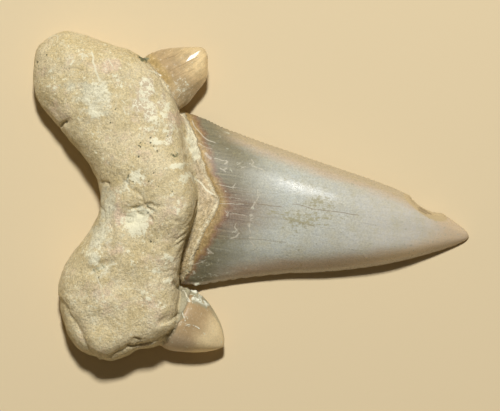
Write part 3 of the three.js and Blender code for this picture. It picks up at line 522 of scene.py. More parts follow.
def root_maps(x, y):
    marks = np.array(ROOT_LANDMARKS)
    total, sums = 0, [0, 0, 0, 0]
    for mark in marks:
        weight = np.exp(-0.5 * ((x - mark[0]) ** 2 + (y - mark[1]) ** 2) / LANDMARK_REACH**2)
        total = total + weight
        sums = [s + weight * value for s, value in zip(sums, mark[2:])]
    top, rim, under, rounding = [s / total for s in sums]
    inset = distance_to_line(x, y, np.vstack([ROOT_OUTLINE, ROOT_OUTLINE[:1]]))
    inset = np.where(inside(x, y, ROOT_OUTLINE), inset, -inset)
    turn = 2 * math.pi / LUMP_SPACING
    wander = 1.4 * np.sin(turn * (0.5 * y - 0.7 * x))
    swell = LUMP_HEIGHT * np.sin(turn * (0.9 * x + 0.5 * y) + wander)
    above = np.maximum(top - rim + swell - pressed_in(x, y, ROOT_HOLLOWS), LEAST_THICKNESS)
    below = np.maximum(rim - under - pressed_in(x, y, UNDERSIDE_HOLLOWS), LEAST_THICKNESS)
    return dict(rim=rim, above=above, below=below, rounding=rounding, inset=inset)


def root_distance(m, z):
    over = z > m["rim"]
    height = np.where(over, m["above"], m["below"])
    rounding = np.where(over, m["rounding"], 0.8 * m["rounding"])
    q = np.maximum(1 - m["inset"] / rounding, 0) + 1e-6
    v = np.abs(z - m["rim"]) / height + 1e-6
    power = EDGE_ROUNDNESS
    size = (q**power + v**power) ** (1 / power)
    slope_out = (q / size) ** (power - 1) / rounding
    slope_up = (v / size) ** (power - 1) / height
    distance = (size - 1) / np.hypot(slope_out, slope_up)
    return np.maximum(distance, -z)


def cusp_place(cusp, x, y):
    """Where points lie on a cusp, in mm along and beside its axis and beyond its enamel lines."""
    dx, dy = x - cusp["base"][0], y - cusp["base"][1]
    cos, sin = math.cos(cusp["heading"]), math.sin(cusp["heading"])
    along, aside = dx * cos + dy * sin, dy * cos - dx * sin
    stations = np.array(cusp["stations"])
    upper = smooth_through(stations[:, 0], stations[:, 1], along)
    lower = smooth_through(stations[:, 0], stations[:, 2], along)
    across = aside / np.maximum(np.where(aside > 0, upper, lower), 0.05)
    line = np.array(cusp["enamel_line"])
    share = np.clip(across, -1, 1)
    lingual = along - smooth_through(line[:, 0], line[:, 1], share)
    labial = along - (line[0, 1] + (line[-1, 1] - line[0, 1]) * (share + 1) / 2)
    return dict(along=along, aside=aside, across=across, lingual=lingual, labial=labial,
                to_upper_edge=upper - aside, to_lower_edge=lower + aside)


def cusp_faces(cusp, x, y):
    place = cusp_place(cusp, x, y)
    along, across = place["along"], place["across"]
    stations = np.array(cusp["stations"])
    edge, rise, belly, crest = [
        smooth_through(stations[:, 0], stations[:, k], along) for k in (3, 4, 5, 6)
    ]
    from_crest = across - crest
    arch = 1 - (np.abs(from_crest) / (1 - crest * np.sign(from_crest))) ** FLANK_ROUNDNESS
    share = np.clip(along / cusp["length"], 0, 1)
    coat = ENAMEL_THICKNESS * smooth_step(place["lingual"], *ENAMEL_STEP)
    coat = coat * np.clip(np.minimum(4 * arch, 2 * (1 - share)), 0, 1)
    arch = np.maximum(arch, -3)
    top = edge + np.maximum(rise, 0.05) * arch + coat
    bottom = edge - np.maximum(belly, 0.05) * (1 - np.minimum(across**2, 4))
    return top, bottom, along, place["labial"]


def cusp_maps(cusp, x, y):
    h = 0.05
    top, bottom, along, labial = cusp_faces(cusp, x, y)
    top_x, bottom_x = cusp_faces(cusp, x + h, y)[:2]
    top_y, bottom_y = cusp_faces(cusp, x, y + h)[:2]
    top_steepness = np.sqrt(1 + ((top_x - top) / h) ** 2 + ((top_y - top) / h) ** 2)
    bottom_steepness = np.sqrt(1 + ((bottom_x - bottom) / h) ** 2 + ((bottom_y - bottom) / h) ** 2)
    ends = np.maximum(-cusp["back"] - labial, along - cusp["length"])
    return dict(top=top, bottom=bottom, top_steepness=top_steepness,
                bottom_steepness=bottom_steepness, ends=ends)


def cusp_distance(m, z):
    over = (z - m["top"]) / m["top_steepness"]
    beneath = (m["bottom"] - z) / m["bottom_steepness"]
    lens = -smooth_union(-over, -beneath, CUTTING_EDGE_BLEND)
    return np.maximum(lens, m["ends"])


def ellipsoid_distance(x, y, z, centre, half_sizes, heading):
    cos, sin = math.cos(heading), math.sin(heading)
    dx, dy, dz = x - centre[0], y - centre[1], z - centre[2]
    local = (dx * cos + dy * sin, dy * cos - dx * sin, dz)
    scaled = np.sqrt(sum((p / r) ** 2 for p, r in zip(local, half_sizes)))
    steep = np.sqrt(sum((p / r**2) ** 2 for p, r in zip(local, half_sizes)))
    return scaled * (scaled - 1) / np.maximum(steep, 1e-6)


def chip_distance(x, y, z):
    cos, sin = math.cos(CROWN["heading"]), math.sin(CROWN["heading"])
    centre = (
        CROWN["base"][0] + CHIP["along"] * cos - CHIP["across"] * sin,
        CROWN["base"][1] + CHIP["along"] * sin + CHIP["across"] * cos,
        CHIP["height"],
    )
    heading = CROWN["heading"] + CHIP["lean"]
    return ellipsoid_distance(x, y, z, centre, CHIP["half_sizes"], heading)


def tooth_maps(x, y):
    return [root_maps(x, y)] + [cusp_maps(cusp, x, y) for cusp in CUSPS]


def tooth_distance(maps, x, y, z):
    root, crown, upper, lower = maps
    seam = CROWN_SEAM + CROWN_SEAM_GROWTH * smooth_step(y, -1, 6)
    distance = smooth_union(root_distance(root, z), cusp_distance(crown, z), seam)
    for cusplet in (upper, lower):
        distance = smooth_union(distance, cusp_distance(cusplet, z), CUSPLET_SEAM)
    return np.maximum(distance, -chip_distance(x, y, z))


# ------------------------------------------------------------------ from distance to mesh


def surface_nets(distance, origin, step):
    """Points and quads of the surface where a grid of distances is nought."""
    inner = distance < 0
    counts = np.zeros(tuple(n - 1 for n in inner.shape), np.int8)
    corners = list(np.ndindex(2, 2, 2))
    for corner in corners:
        counts += inner[tuple(slice(c, n - 1 + c) for c, n in zip(corner, inner.shape))]
    cells = np.argwhere((counts > 0) & (counts < 8))
    number = np.full(counts.shape, -1, np.int32)
    number[tuple(cells.T)] = np.arange(len(cells))
    sums, hits = np.zeros((len(cells), 3)), np.zeros(len(cells))
    for a in corners:
        for axis in range(3):
            if a[axis] == 0:
                b = tuple(c + (n == axis) for n, c in enumerate(a))
                da, db = distance[tuple((cells + a).T)], distance[tuple((cells + b).T)]
                cut = (da < 0) != (db < 0)
                t = np.where(cut, da / np.where(cut, da - db, 1), 0)
                point = np.array(a) + t[:, None] * (np.array(b) - np.array(a))
                sums += point * cut[:, None]
                hits += cut
    points = origin + step * (cells + sums / hits[:, None])
    quads = []
    for axis in range(3):
        u, v = (axis + 1) % 3, (axis + 2) % 3
        here = [slice(None)] * 3
        there = [slice(None)] * 3
        here[axis], there[axis] = slice(0, -1), slice(1, None)
        start, end = inner[tuple(here)], inner[tuple(there)]
        edges = np.argwhere(start != end)
        edges = edges[(edges[:, u] > 0) & (edges[:, v] > 0)]
        outward = start[tuple(edges.T)]
        unit_u, unit_v = np.eye(3, dtype=int)[u], np.eye(3, dtype=int)[v]
        ring = [edges - unit_u - unit_v, edges - unit_v, edges, edges - unit_u]
        quad = np.stack([number[tuple(corner.T)] for corner in ring], axis=1)
        quads.append(np.where(outward[:, None], quad, quad[:, ::-1]))
    return points, np.vstack(quads)


def distance_and_slope(points, h=0.02):
    x, y, z = points.T
    maps = tooth_maps(x, y)
    here = tooth_distance(maps, x, y, z)
    up = tooth_distance(maps, x, y, z + h)
    right = tooth_distance(tooth_maps(x + h, y), x + h, y, z)
    back = tooth_distance(tooth_maps(x, y + h), x, y + h, z)
    return here, np.stack([right - here, back - here, up - here], axis=1) / h


def tooth_surface():
    margin = 3 * GRID_STEP
    low, high = np.array(GRID_BOX[0]) - margin, np.array(GRID_BOX[1]) + margin
    axes = [np.arange(a, b, GRID_STEP) for a, b in zip(low, high)]
    x, y = np.meshgrid(axes[0], axes[1], indexing="ij")
    maps = [{k: v[:, :, None] for k, v in m.items()} for m in tooth_maps(x, y)]
    distance = tooth_distance(maps, x[:, :, None], y[:, :, None], axes[2][None, None, :])
    points, quads = surface_nets(distance, low, GRID_STEP)
    for _ in range(2):
        distance, slope = distance_and_slope(points)
        step = distance / np.maximum((slope**2).sum(1), 0.2)
        points -= slope * np.clip(step, -0.2, 0.2)[:, None]
    _, slope = distance_and_slope(points)
    print("surface:", len(points), "points", len(quads), "quads")
    return points, quads, slope / np.linalg.norm(slope, axis=1, keepdims=True)


# ------------------------------------------------------------------ detail on the surface

TURN = np.array([[0.36, 0.48, -0.8], [-0.8, 0.6, 0.0], [0.48, 0.64, 0.6]])


def lattice_noise(points, spacing, seed):
    """Smooth noise from -1 to 1 on a lattice of that spacing, the same every run."""
    turned = points @ TURN / spacing + 37.0
    cell = np.floor(turned).astype(np.int64)
    t = turned - cell
    t = t * t * t * (t * (t * 6 - 15) + 10)
    total = 0
    for offset in np.ndindex(2, 2, 2):
        corner = cell + offset
        mixed = corner[:, 0] * 73856093 ^ corner[:, 1] * 19349663 ^ corner[:, 2] * 83492791
        mixed = (mixed ^ (seed * 2654435761)) & 0xFFFFFFFF
        mixed = ((mixed ^ (mixed >> 15)) * 2246822519) & 0xFFFFFFFF
        mixed = ((mixed ^ (mixed >> 13)) * 3266489917) & 0xFFFFFFFF
        value = ((mixed ^ (mixed >> 16)) & 0xFFFF) / 32767.5 - 1
        total = total + np.where(offset, t, 1 - t).prod(axis=1) * value
    return total


def groove_field(x, y, lines):
    """Depth in mm of the grooves over each point."""
    depth = 0
    for width, deep, line in lines:
        depth = np.maximum(depth, deep * np.exp(-((distance_to_line(x, y, line) / width) ** 2)))
    return depth


def segments(x, y, line):
    """For each segment of a line: how far points lie ahead of its start and beside it, and its length."""
    for (ax, ay), (bx, by) in zip(line[:-1], line[1:]):
        dx, dy = bx - ax, by - ay
        length = math.hypot(dx, dy)
        yield (((x - ax) * dx + (y - ay) * dy) / length, ((x - ax) * dy - (y - ay) * dx) / length, length)


def line_fields(x, y, lines):
    """How far each point lies to one side of the nearest line, in widths, and that line's strength."""
    offset, strength = np.full(np.shape(x), 9.0), np.zeros(np.shape(x))
    for width, strong, line in lines:
        last = len(line) - 2
        for k, (ahead, side, length) in enumerate(segments(x, y, line)):
            beyond = np.maximum(-ahead, ahead - length)
            gap = np.hypot(side, np.maximum(beyond, 0)) / width
            past_end = np.where(ahead < 0, k == 0, k == last) * np.maximum(beyond, 0)
            fade = (1 - smooth_step(past_end, 0, 0.3)) * (1 - smooth_step(gap * width, 0.5, 0.9))
            nearer = gap < np.abs(offset)
            offset = np.where(nearer, np.copysign(gap, side), offset)
            strength = np.where(nearer, strong * fade, strength)
    return np.clip(offset, -6, 6), strength


def patch_field(x, y, patches):
    total = 0
    for px, py, along, aside, strength, *turn in patches:
        angle = math.radians(sum(turn))
        cos, sin = math.cos(angle), math.sin(angle)
        u = ((x - px) * cos + (y - py) * sin) / along
        v = ((y - py) * cos - (x - px) * sin) / aside
        total = np.maximum(total, strength * np.exp(-0.7 * (u * u + v * v) ** 1.5))
    return total


def lowered_beyond(x, y, line, reach):
    """A terrace: the ground beside a line lies lower and comes back over reach."""
    nearest, signed = np.full(np.shape(x), np.inf), np.zeros(np.shape(x))
    for ahead, side, length in segments(x, y, line):
        gap = np.hypot(side, np.maximum(np.maximum(-ahead, ahead - length), 0))
        signed = np.where(gap < nearest, side, signed)
        nearest = np.minimum(nearest, gap)
    fade = 1 - smooth_step(nearest, 0.4 * reach, reach)
    return TERRACE_DEPTH * smooth_step(signed, -0.1, 0.25) * fade


def describe(points, outward):
    """What each point of the surface is, as fields for the form and the finish."""
    x, y, z = points.T
    maps = tooth_maps(x, y)
    root = root_distance(maps[0], z)
    cusps = np.stack([cusp_distance(m, z) for m in maps[1:]])
    which = cusps.argmin(axis=0)
    places = [cusp_place(cusp, x, y) for cusp in CUSPS]
    fields = {k: np.choose(which, [p[k] for p in places]) for k in places[0]}
    lingual, labial = fields.pop("lingual"), fields.pop("labial")
    below_edge = smooth_step(np.choose(which, [cusp["edge_height"] for cusp in CUSPS]) - z, -0.1, 0.3)
    under = below_edge * smooth_step(-outward[:, 2], -0.2, 0.1) > 0.5
    fields["beyond"] = np.where(under, labial, lingual)
    fields["root"] = smooth_step(cusps.min(axis=0) - root, -0.12, 0.12)
    fields["upper_cusplet"] = (which == 1) * 1.0
    fields["lower_cusplet"] = (which == 2) * 1.0
    fields["flake"] = smooth_step(-np.abs(chip_distance(x, y, z)), -0.9, -0.15)
    return fields


def add_detail(points, outward):
    """Moves points along the outward direction for relief, and adds the fields of the marks."""
    fields = describe(points, outward)
    x, y, z = points.T
    noises = {gap: lattice_noise(points, gap, int(10 * gap)) for gap in (3.6, 1.7, 1.2, 0.85, 0.5)}
    fine = noises[0.5]
    far, near = PATCH_WANDER
    wx = x + far * noises[1.2] + near * fine
    wy = y + far * lattice_noise(points, 1.3, 5) + near * lattice_noise(points, 0.6, 6)
    nx, ny = x + LINE_WANDER * noises[0.85], y + LINE_WANDER * lattice_noise(points, 0.9, 8)
    on_top = smooth_step(outward[:, 2], -0.3, 0.1)
    for kind, patches in PATCHES.items():
        fields[kind] = patch_field(wx, wy, patches) * on_top
    for kind, lines in LINES.items():
        fields[kind + "_side"], strength = line_fields(nx, ny, lines)
        fields[kind] = strength * on_top
    pits = [(0.75 * radius, 1, [(px, py), (px + 0.01, py)]) for px, py, radius in PITS]
    fields["pit"] = groove_field(x, y, pits) * on_top
    sunk = groove_field(nx, ny, CREASES) + groove_field(nx, ny, WRINKLES) + PIT_DEPTH * fields["pit"]
    for line, reach in TERRACES:
        sunk = sunk + lowered_beyond(x, y, line, reach)
    ridges = np.exp(-((lattice_noise(points, 0.8, 21) / 0.16) ** 2))
    crust = fields["white"] * (0.08 + 0.05 * fine) + fields["worm"] * (0.13 * ridges + 0.05 * fine)
    root = fields["root"]
    neck = (1 - root) * smooth_step(-fields["beyond"], -0.1, 0.2)
    rough = sum(size * noises[gap] for gap, size in ROOT_BUMPS.items())
    grit = sum(size * noises[gap] for gap, size in NECK_BUMPS.items())
    growth = GROWTH_HEIGHT * groove_field(nx, ny, CRUSTS) * np.clip(1 + 1.6 * fine, 0, 2) * on_top
    height = root * rough + neck * grit + (root + neck) * (crust - sunk * on_top) + growth
    # The crest of the upper cusplet, and the facet along it.
    crest = smooth_step(fields["along"], 3.0, 6.6) * (1 - smooth_step(fields["along"], 6.9, 7.8))
    arch = 1 - np.clip(fields["across"], -1, 1) ** 2
    height = height + CREST_RISE * crest * fields["upper_cusplet"] * arch
    near = np.exp(-((distance_to_line(x, y, FACET["line"]) / FACET["half_width"]) ** 2))
    facet = FACET["middle"][1] - FACET["fall"] * (y - FACET["middle"][0])
    lift = np.clip(facet - z - height, -0.3, 0.5) * smooth_step(outward[:, 2], 0.5, 0.9)
    height = height + FACET["share"] * near * lift * fields["upper_cusplet"]
    return points + outward * height[:, None], fields


# ------------------------------------------------------------------ pieces


def make_tooth():
    points, quads, outward = tooth_surface()
    points, fields = add_detail(points, outward)
    middle = (points.min(0) + points.max(0)) / 2
    points[:, :2] -= middle[:2]
    points[:, 2] = np.maximum(points[:, 2], 0)
    mesh = bpy.data.meshes.new("fossil_tooth")
    mesh.from_pydata((points * MM).tolist(), [], quads.tolist())
    mesh.shade_smooth()
    for name, values in fields.items():
        made = mesh.attributes.new(name, "FLOAT", "POINT")
        made.data.foreach_set("value", values.astype(np.float32))
    tooth = bpy.data.objects.new("fossil_tooth", mesh)
    bpy.context.scene.collection.objects.link(tooth)
    return tooth


# ------------------------------------------------------------------ finishes

# The dark colour laid along the creases and the crevice.
CREASE_DARK = (0.13, 0.1, 0.045)
FLOOR_COLOUR, FLOOR_ROUGHNESS = (0.76, 0.62, 0.385), 0.9


class Shade:
    """Adds nodes to a material and hands back their outputs. Spacings are in mm."""

    def __init__(self, name):
        self.material = bpy.data.materials.new(name)
        self.material.use_nodes = True
        self.tree = self.material.node_tree
        self.shader = self.tree.nodes["Principled BSDF"]
        self.place = self.tree.nodes.new("ShaderNodeTexCoord").outputs["Object"]
        # The noises that most finishes share: a fine one, a coarser one, and that one about nought.
        self.grain, self.speck = self.noise(0.27, 3, 0.8), self.noise(0.5, 5, 0.75)
        self.crisp = self.about_nought(self.speck, 3.6)

    def feed(self, socket, source):
        if isinstance(source, bpy.types.NodeSocket):
            self.tree.links.new(source, socket)
        elif isinstance(source, tuple):
            socket.default_value = (*source, 1) if len(socket.default_value) == 4 else source
        else:
            socket.default_value = source

    def node(self, kind, inputs, output=0, **settings):
        made = self.tree.nodes.new("ShaderNode" + kind)
        for name, value in settings.items():
            setattr(made, name, value)
        for socket, source in inputs.items():
            self.feed(made.inputs[socket], source)
        return made.outputs[output]

    def field(self, name):
        return self.node("Attribute", {}, "Fac", attribute_name=name)

    def math(self, operation, a, b=0.0):
        return self.node("Math", {0: a, 1: b}, operation=operation)

    def add(self, a, b):
        return self.math("ADD", a, b)

    def times(self, a, b):
        return self.math("MULTIPLY", a, b)

    def away(self, value, middle):
        """How far a value is from the middle one."""
        return self.math("ABSOLUTE", self.add(value, -middle))

    def about_nought(self, noise, width):
        return self.times(self.add(noise, -0.5), width)

    def worn(self, value, wear):
        """A value broken up by a noise about nought, or by so much of the crisp one."""
        if not isinstance(wear, bpy.types.NodeSocket):
            wear = self.times(self.crisp, wear)
        return self.add(value, wear)

    def ramp(self, value, low, high, *ends):
        """Goes smoothly from 0 to 1, from 0 to one given end, or between two given ends, as the
        value goes from low to high."""
        to_low, to_high = (0.0, *(ends or (1.0,)))[-2:]
        inputs = {"Value": value, "From Min": low, "From Max": high, "To Min": to_low, "To Max": to_high}
        return self.node("MapRange", inputs, interpolation_type="SMOOTHSTEP")

    def noise(self, spacing, detail=3.0, roughness=0.55, place=None, shift=None):
        inputs = {"Scale": 1.0 if place else 1000.0 / spacing, "Detail": detail, "Roughness": roughness}
        inputs["Vector"] = place or self.place
        if shift:
            inputs["Vector"] = self.node("VectorMath", {0: self.place, 1: (shift,) * 3})
        return self.node("TexNoise", inputs)

    def streaks(self, length, width, seed):
        """Noise drawn out along the cusp."""
        along = self.times(self.field("along"), 1 / length)
        aside = self.times(self.field("aside"), 1 / width)
        return self.noise(1.0, 3, 0.55, self.node("CombineXYZ", {0: along, 1: aside, 2: seed}))

    def blend(self, amount, a, b):
        return self.node("Mix", {"Factor": amount, 6: a, 7: b}, 2, data_type="RGBA")

    def choose(self, amount, a, b):
        return self.node("Mix", {"Factor": amount, 2: a, 3: b}, data_type="FLOAT")

    def layers(self, colour, rows):
        """Lays tints over a colour by their amounts. Where a tint is None, the amount brightens."""
        for amount, tint in rows:
            if tint is None:
                colour = self.node("VectorMath", {0: colour, "Scale": amount}, operation="SCALE")
            else:
                colour = self.blend(amount, colour, tint)
        return colour

    def line(self, name, wear=None):
        """Where a drawn line runs, worn through in places by so much of the crisp noise."""
        strength = self.field(name)
        if wear is not None:
            strength = self.worn(strength, self.times(self.times(self.crisp, wear), 0.7))
        return self.times(self.ramp(self.away(self.field(name + "_side"), 0.0), 1.3, 0.2),
                          self.ramp(strength, 0.1, 1.0))

    def mask(self, name, wear, low, high, full=1.0):
        """Where a field is strong, with its edge broken up as worn does it."""
        return self.ramp(self.worn(self.field(name), wear), low, high, full)


def root_colour(sh):
    speck = sh.speck
    crumb, other = sh.noise(1.0, 4, 0.7, shift=5.0), sh.noise(2.6, 5, 0.65, shift=11.0)
    wobble = sh.about_nought(sh.noise(1.5, 4, 0.6), 2.4)
    web = sh.ramp(sh.away(sh.noise(4.0, 5, 0.6, shift=7.0), 0.5), 0.03, 0.006)
    broken = sh.times(sh.ramp(speck, 0.42, 0.56), sh.ramp(sh.field("grey"), 0.1, 0.6, 0.25, 0.8))
    ridge = sh.ramp(sh.away(sh.noise(1.1, 3, 0.6, shift=3.0), 0.5), 0.06, 0.02)
    worm = sh.blend(sh.times(ridge, sh.ramp(speck, 0.36, 0.5)), (0.66, 0.54, 0.36), (0.98, 0.94, 0.7))
    ground = sh.blend(sh.ramp(sh.noise(6.0), 0.35, 0.65), (0.67, 0.55, 0.3), (0.77, 0.65, 0.395))
    return sh.layers(ground, [
        (sh.ramp(other, 0.53, 0.68, 0.65), (0.75, 0.59, 0.395)),
        (sh.ramp(other, 0.47, 0.32, 0.6), (0.65, 0.51, 0.245)),
        (sh.mask("pink", wobble, 0.25, 1.0, 0.75), (0.75, 0.57, 0.4)),
        (sh.mask("grey", wobble, 0.15, 1.0, 0.85), (0.73, 0.69, 0.49)),
        # Ochre stains, and patches of painted shade where the light leaves the root too bright.
        (sh.mask("ochre_and_painted_shade", wobble, 0.25, 1.0, 0.75), (0.67, 0.535, 0.27)),
        (sh.ramp(crumb, 0.57, 0.66, 0.35), (0.86, 0.78, 0.53)),
        (sh.ramp(crumb, 0.43, 0.35, 0.35), (0.42, 0.33, 0.17)),
        (sh.ramp(speck, 0.57, 0.68, 0.6), (0.92, 0.86, 0.6)),
        (sh.ramp(speck, 0.42, 0.3, 0.5), (0.36, 0.29, 0.14)),
        (sh.ramp(sh.grain, 0.25, 0.75, 0.7, 1.32), None),
        (sh.times(web, broken), (0.92, 0.87, 0.64)),
        (sh.mask("worm", sh.times(wobble, 0.7), 0.2, 0.7, 0.95), worm),
        # Pale crusts and worn spots, and two patches of painted light.
        (sh.mask("white", 1, 0.25, 0.65, 0.95), (0.95, 0.9, 0.64)),
        (sh.times(sh.line("vein", 1), 0.85), (0.88, 0.83, 0.6)),
        (sh.mask("green", 1, 0.6, 1.3), (0.15, 0.16, 0.07)),
        (sh.mask("pit", 0.15, 0.35, 0.75), (0.13, 0.12, 0.06)),
        (sh.line("crease", 0.4), CREASE_DARK),
    ])


def neck_colour(sh, edge):
    middle, aside, speck = sh.noise(0.9, 4), sh.field("aside"), sh.speck
    sand = sh.blend(sh.ramp(middle, 0.35, 0.65), (0.56, 0.43, 0.24), (0.72, 0.59, 0.38))
    shaded = sh.blend(sh.ramp(speck, 0.35, 0.62), (0.58, 0.45, 0.23), (0.72, 0.58, 0.34))
    rim = sh.times(sh.ramp(edge, -1.0, -0.2), sh.ramp(speck, 0.42, 0.58, 0.1, 0.9))
    drawn_out = sh.node("CombineXYZ", {0: sh.times(edge, 3.5), 1: sh.times(aside, 0.6), 2: 3.0})
    return sh.layers(sand, [
        (sh.ramp(aside, 0.5, -3.5), shaded),
        (sh.ramp(sh.worn(aside, 0.8), 4.0, 7.0, 0.6), (0.84, 0.78, 0.55)),
        (sh.mask("pink", 1, 0.2, 0.9, 0.7), (0.7, 0.54, 0.38)),
        (rim, (0.82, 0.74, 0.5)),
        (sh.ramp(speck, 0.43, 0.34, 0.45), (0.26, 0.21, 0.1)),
        (sh.ramp(speck, 0.58, 0.66, 0.5), (0.92, 0.85, 0.6)),
        (sh.ramp(sh.noise(1.0, 4, 0.65, drawn_out), 0.35, 0.65, 0.72, 1.25), None),
        (sh.ramp(sh.grain, 0.25, 0.75, 0.82, 1.18), None),
        (sh.times(sh.field("lower_cusplet"), 0.75), (0.4, 0.37, 0.23)),
        (sh.mask("white", 1, 0.3, 0.75, 0.9), (0.92, 0.87, 0.62)),
        (sh.line("vein", 0.6), (0.95, 0.88, 0.64)),
        (sh.mask("green", 1, 0.6, 1.3), (0.22, 0.22, 0.12)),
        (sh.line("crease", 0.4), CREASE_DARK),
    ])


def crown_colour(sh, edge):
    along, aside, speck = sh.field("along"), sh.field("aside"), sh.speck
    upper, lower = sh.field("to_upper_edge"), sh.field("to_lower_edge")
    fine, wide, cloud = sh.streaks(7.0, 0.25, 1.0), sh.streaks(9.0, 1.3, 4.0), sh.noise(2.2, 3)
    waver = sh.add(sh.about_nought(wide, 2.2), sh.about_nought(cloud, 2.0))
    body = sh.blend(sh.ramp(along, 12.0, 36.0), (0.53, 0.545, 0.475), (0.6, 0.56, 0.47))
    # Darker towards the base, brown about the point of the enamel line.
    axis = sh.ramp(sh.away(aside, -1.0), 5.0, 1.0)
    depth = sh.add(sh.add(edge, sh.times(waver, 1.2)), sh.ramp(aside, 1.5, 7.0, -3.5))
    middle = sh.blend(axis, (0.42, 0.415, 0.33), (0.38, 0.345, 0.265))
    deep = sh.blend(sh.ramp(aside, -6.0, 5.0), (0.21, 0.19, 0.115), (0.23, 0.205, 0.125))
    deep = sh.blend(axis, deep, (0.235, 0.17, 0.115))
    near = sh.times(sh.ramp(edge, 6.5, 1.0), sh.ramp(sh.away(aside, -0.3), 7.0, 1.5, 0.4, 1.0))
    # Tan and peach along the upper edge, brown along the lower one.
    tan = sh.ramp(sh.add(upper, sh.times(waver, 0.5)), 2.6, 0.9)
    peach = sh.blend(sh.ramp(upper, 1.5, 0.6), (0.58, 0.45, 0.31), (0.54, 0.425, 0.25))
    brown = sh.ramp(sh.add(lower, sh.times(waver, 0.6)), 3.2, 1.0)
    russet = sh.blend(sh.ramp(along, 20.0, 34.0), (0.48, 0.34, 0.215), (0.8, 0.62, 0.4))
    # The orange-brown fringe along the enamel line.
    ragged = sh.add(sh.add(edge, -0.4), sh.worn(sh.times(waver, 0.65), 0.3))
    ragged = sh.add(ragged, sh.ramp(aside, -6.5, -9.5, 1.2))
    amber = sh.blend(sh.ramp(ragged, 0.1, 1.4), (0.42, 0.29, 0.12), (0.28, 0.155, 0.085))
    amber = sh.layers(amber, [(sh.ramp(speck, 0.35, 0.65, 0.68, 1.3), None)])
    calm = sh.ramp(along, 20.0, 34.0, 0.18, 0.07)
    colour = sh.layers(body, [
        (sh.ramp(cloud, 0.42, 0.68, 0.5), (0.52, 0.49, 0.36)),
        # Painted light: the lower half, which faces away from the light, is brightened.
        (sh.ramp(aside, -1.0, -5.0, 1.0, 1.24), None),
        (sh.ramp(depth, 11.5, 5.0), middle),
        (sh.ramp(depth, 7.5, 1.8), deep),
        (sh.ramp(sh.times(near, sh.add(fine, -0.5)), -0.2, 0.2, 0.66, 1.36), None),
        (sh.times(tan, sh.ramp(edge, 3.0, 9.0, 0.85)), peach),
        (sh.times(brown, sh.ramp(edge, 2.0, 9.0, 0.85)), russet),
        (sh.ramp(sh.worn(lower, 0.12), 0.7, 0.35, 0.75), (0.62, 0.54, 0.4)),
        (sh.ramp(sh.add(along, waver), 32.5, 39.5), (0.64, 0.5, 0.33)),
        (sh.ramp(ragged, 2.1, 0.7), amber),
        (sh.ramp(fine, 0.25, 0.75, 0.96, 1.04), None),
        (sh.add(1.0, sh.times(sh.ramp(sh.grain, 0.25, 0.75, -1.0, 1.0), calm)), None),
    ])
    tint = sh.blend(sh.ramp(speck, 0.35, 0.65), (1.015, 1.0, 0.95), (0.985, 1.0, 1.05))
    colour = sh.node("VectorMath", {0: colour, 1: tint}, operation="MULTIPLY")
    drawn_out = sh.add(sh.times(sh.crisp, 1.3), sh.about_nought(sh.streaks(1.6, 0.25, 9.0), 2.6))
    return sh.layers(colour, [
        (sh.mask("flake", 0.4, 0.3, 0.6), (0.58, 0.45, 0.25)),
        (sh.mask("olive", drawn_out, 0.45, 1.2, 0.8), (0.36, 0.32, 0.165)),
        (sh.times(sh.line("hairline", 0.5), 0.7), (0.22, 0.15, 0.08)),
        (sh.mask("green", 1, 0.3, 1.1, 0.8), (0.27, 0.28, 0.19)),
        (sh.mask("crown white", 1, 0.35, 1.0, 0.75), (0.66, 0.65, 0.5)),
        (sh.times(sh.line("scratch", 1), 0.62), (0.7, 0.64, 0.49)),
        (sh.line("crust", 0.5), (0.85, 0.85, 0.66)),
    ])


def cusplet_colour(sh):
    along, across, speck = sh.field("along"), sh.field("across"), sh.speck
    at = sh.add(along, sh.about_nought(sh.noise(1.8), 2.2))
    amber = sh.layers((0.58, 0.41, 0.17), [(sh.ramp(speck, 0.35, 0.65, 0.8, 1.2), None)])
    upper = sh.layers(sh.blend(sh.ramp(at, 2.0, 6.5), (0.54, 0.385, 0.2), (0.78, 0.59, 0.31)), [
        (sh.ramp(sh.worn(along, 0.3), 1.9, 0.9), amber),
        (sh.times(sh.ramp(across, 0.1, -0.5), sh.ramp(at, 5.0, 1.5)), (0.42, 0.32, 0.18)),
        # Painted light and shade: the lower side brightened and the upper side darkened, against how the
        # light falls.
        (sh.ramp(across, -0.7, 0.4, 1.3, 0.9), None),
        (sh.ramp(sh.streaks(6.0, 0.3, 2.0), 0.3, 0.7, 0.92, 1.06), None),
        (sh.ramp(sh.noise(1.3, 3), 0.35, 0.65, 0.88, 1.1), None),
    ])
    lower = sh.layers(sh.blend(sh.ramp(at, 2.2, 5.6), (0.48, 0.335, 0.17), (0.87, 0.69, 0.39)), [
        (sh.times(sh.ramp(across, -0.1, -0.7), sh.ramp(at, 5.0, 2.0)), (0.54, 0.41, 0.25)),
        # Painted light: the lower side, which faces away from the light, is brightened.
        (sh.ramp(across, -0.6, -0.95, 1.0, 1.3), None),
        (sh.ramp(sh.worn(across, 0.05), 0.82, 0.95, 0.6), (0.4, 0.37, 0.22)),
    ])
    flecks = sh.times(sh.ramp(at, 3.8, 0.8), sh.ramp(speck, 0.53, 0.63, 0.7))
    halo = sh.ramp(sh.away(sh.field("crust_side"), 0.0), 2.6, 1.2)
    crust = sh.blend(sh.ramp(speck, 0.42, 0.54), (0.6, 0.6, 0.43), (0.97, 0.96, 0.77))
    return sh.layers(sh.blend(sh.field("lower_cusplet"), upper, lower), [
        (sh.ramp(sh.grain, 0.25, 0.75, 0.88, 1.12), None),
        (sh.times(flecks, sh.ramp(across, 0.4, -0.5, 0.25, 1.0)), (0.72, 0.66, 0.48)),
        (sh.mask("white", 1, 0.3, 0.9), (0.9, 0.87, 0.65)),
        (sh.line("vein", 1), (0.85, 0.78, 0.58)),
        (sh.mask("green", 1, 0.6, 1.3), (0.24, 0.24, 0.14)),
        (sh.times(sh.line("hairline", 0.5), 0.6), (0.3, 0.2, 0.1)),
        (sh.times(halo, sh.mask("crust", 1, 0.2, 1.2, 0.7)), (0.37, 0.38, 0.26)),
        (sh.line("crust", 2.2), crust),
    ])


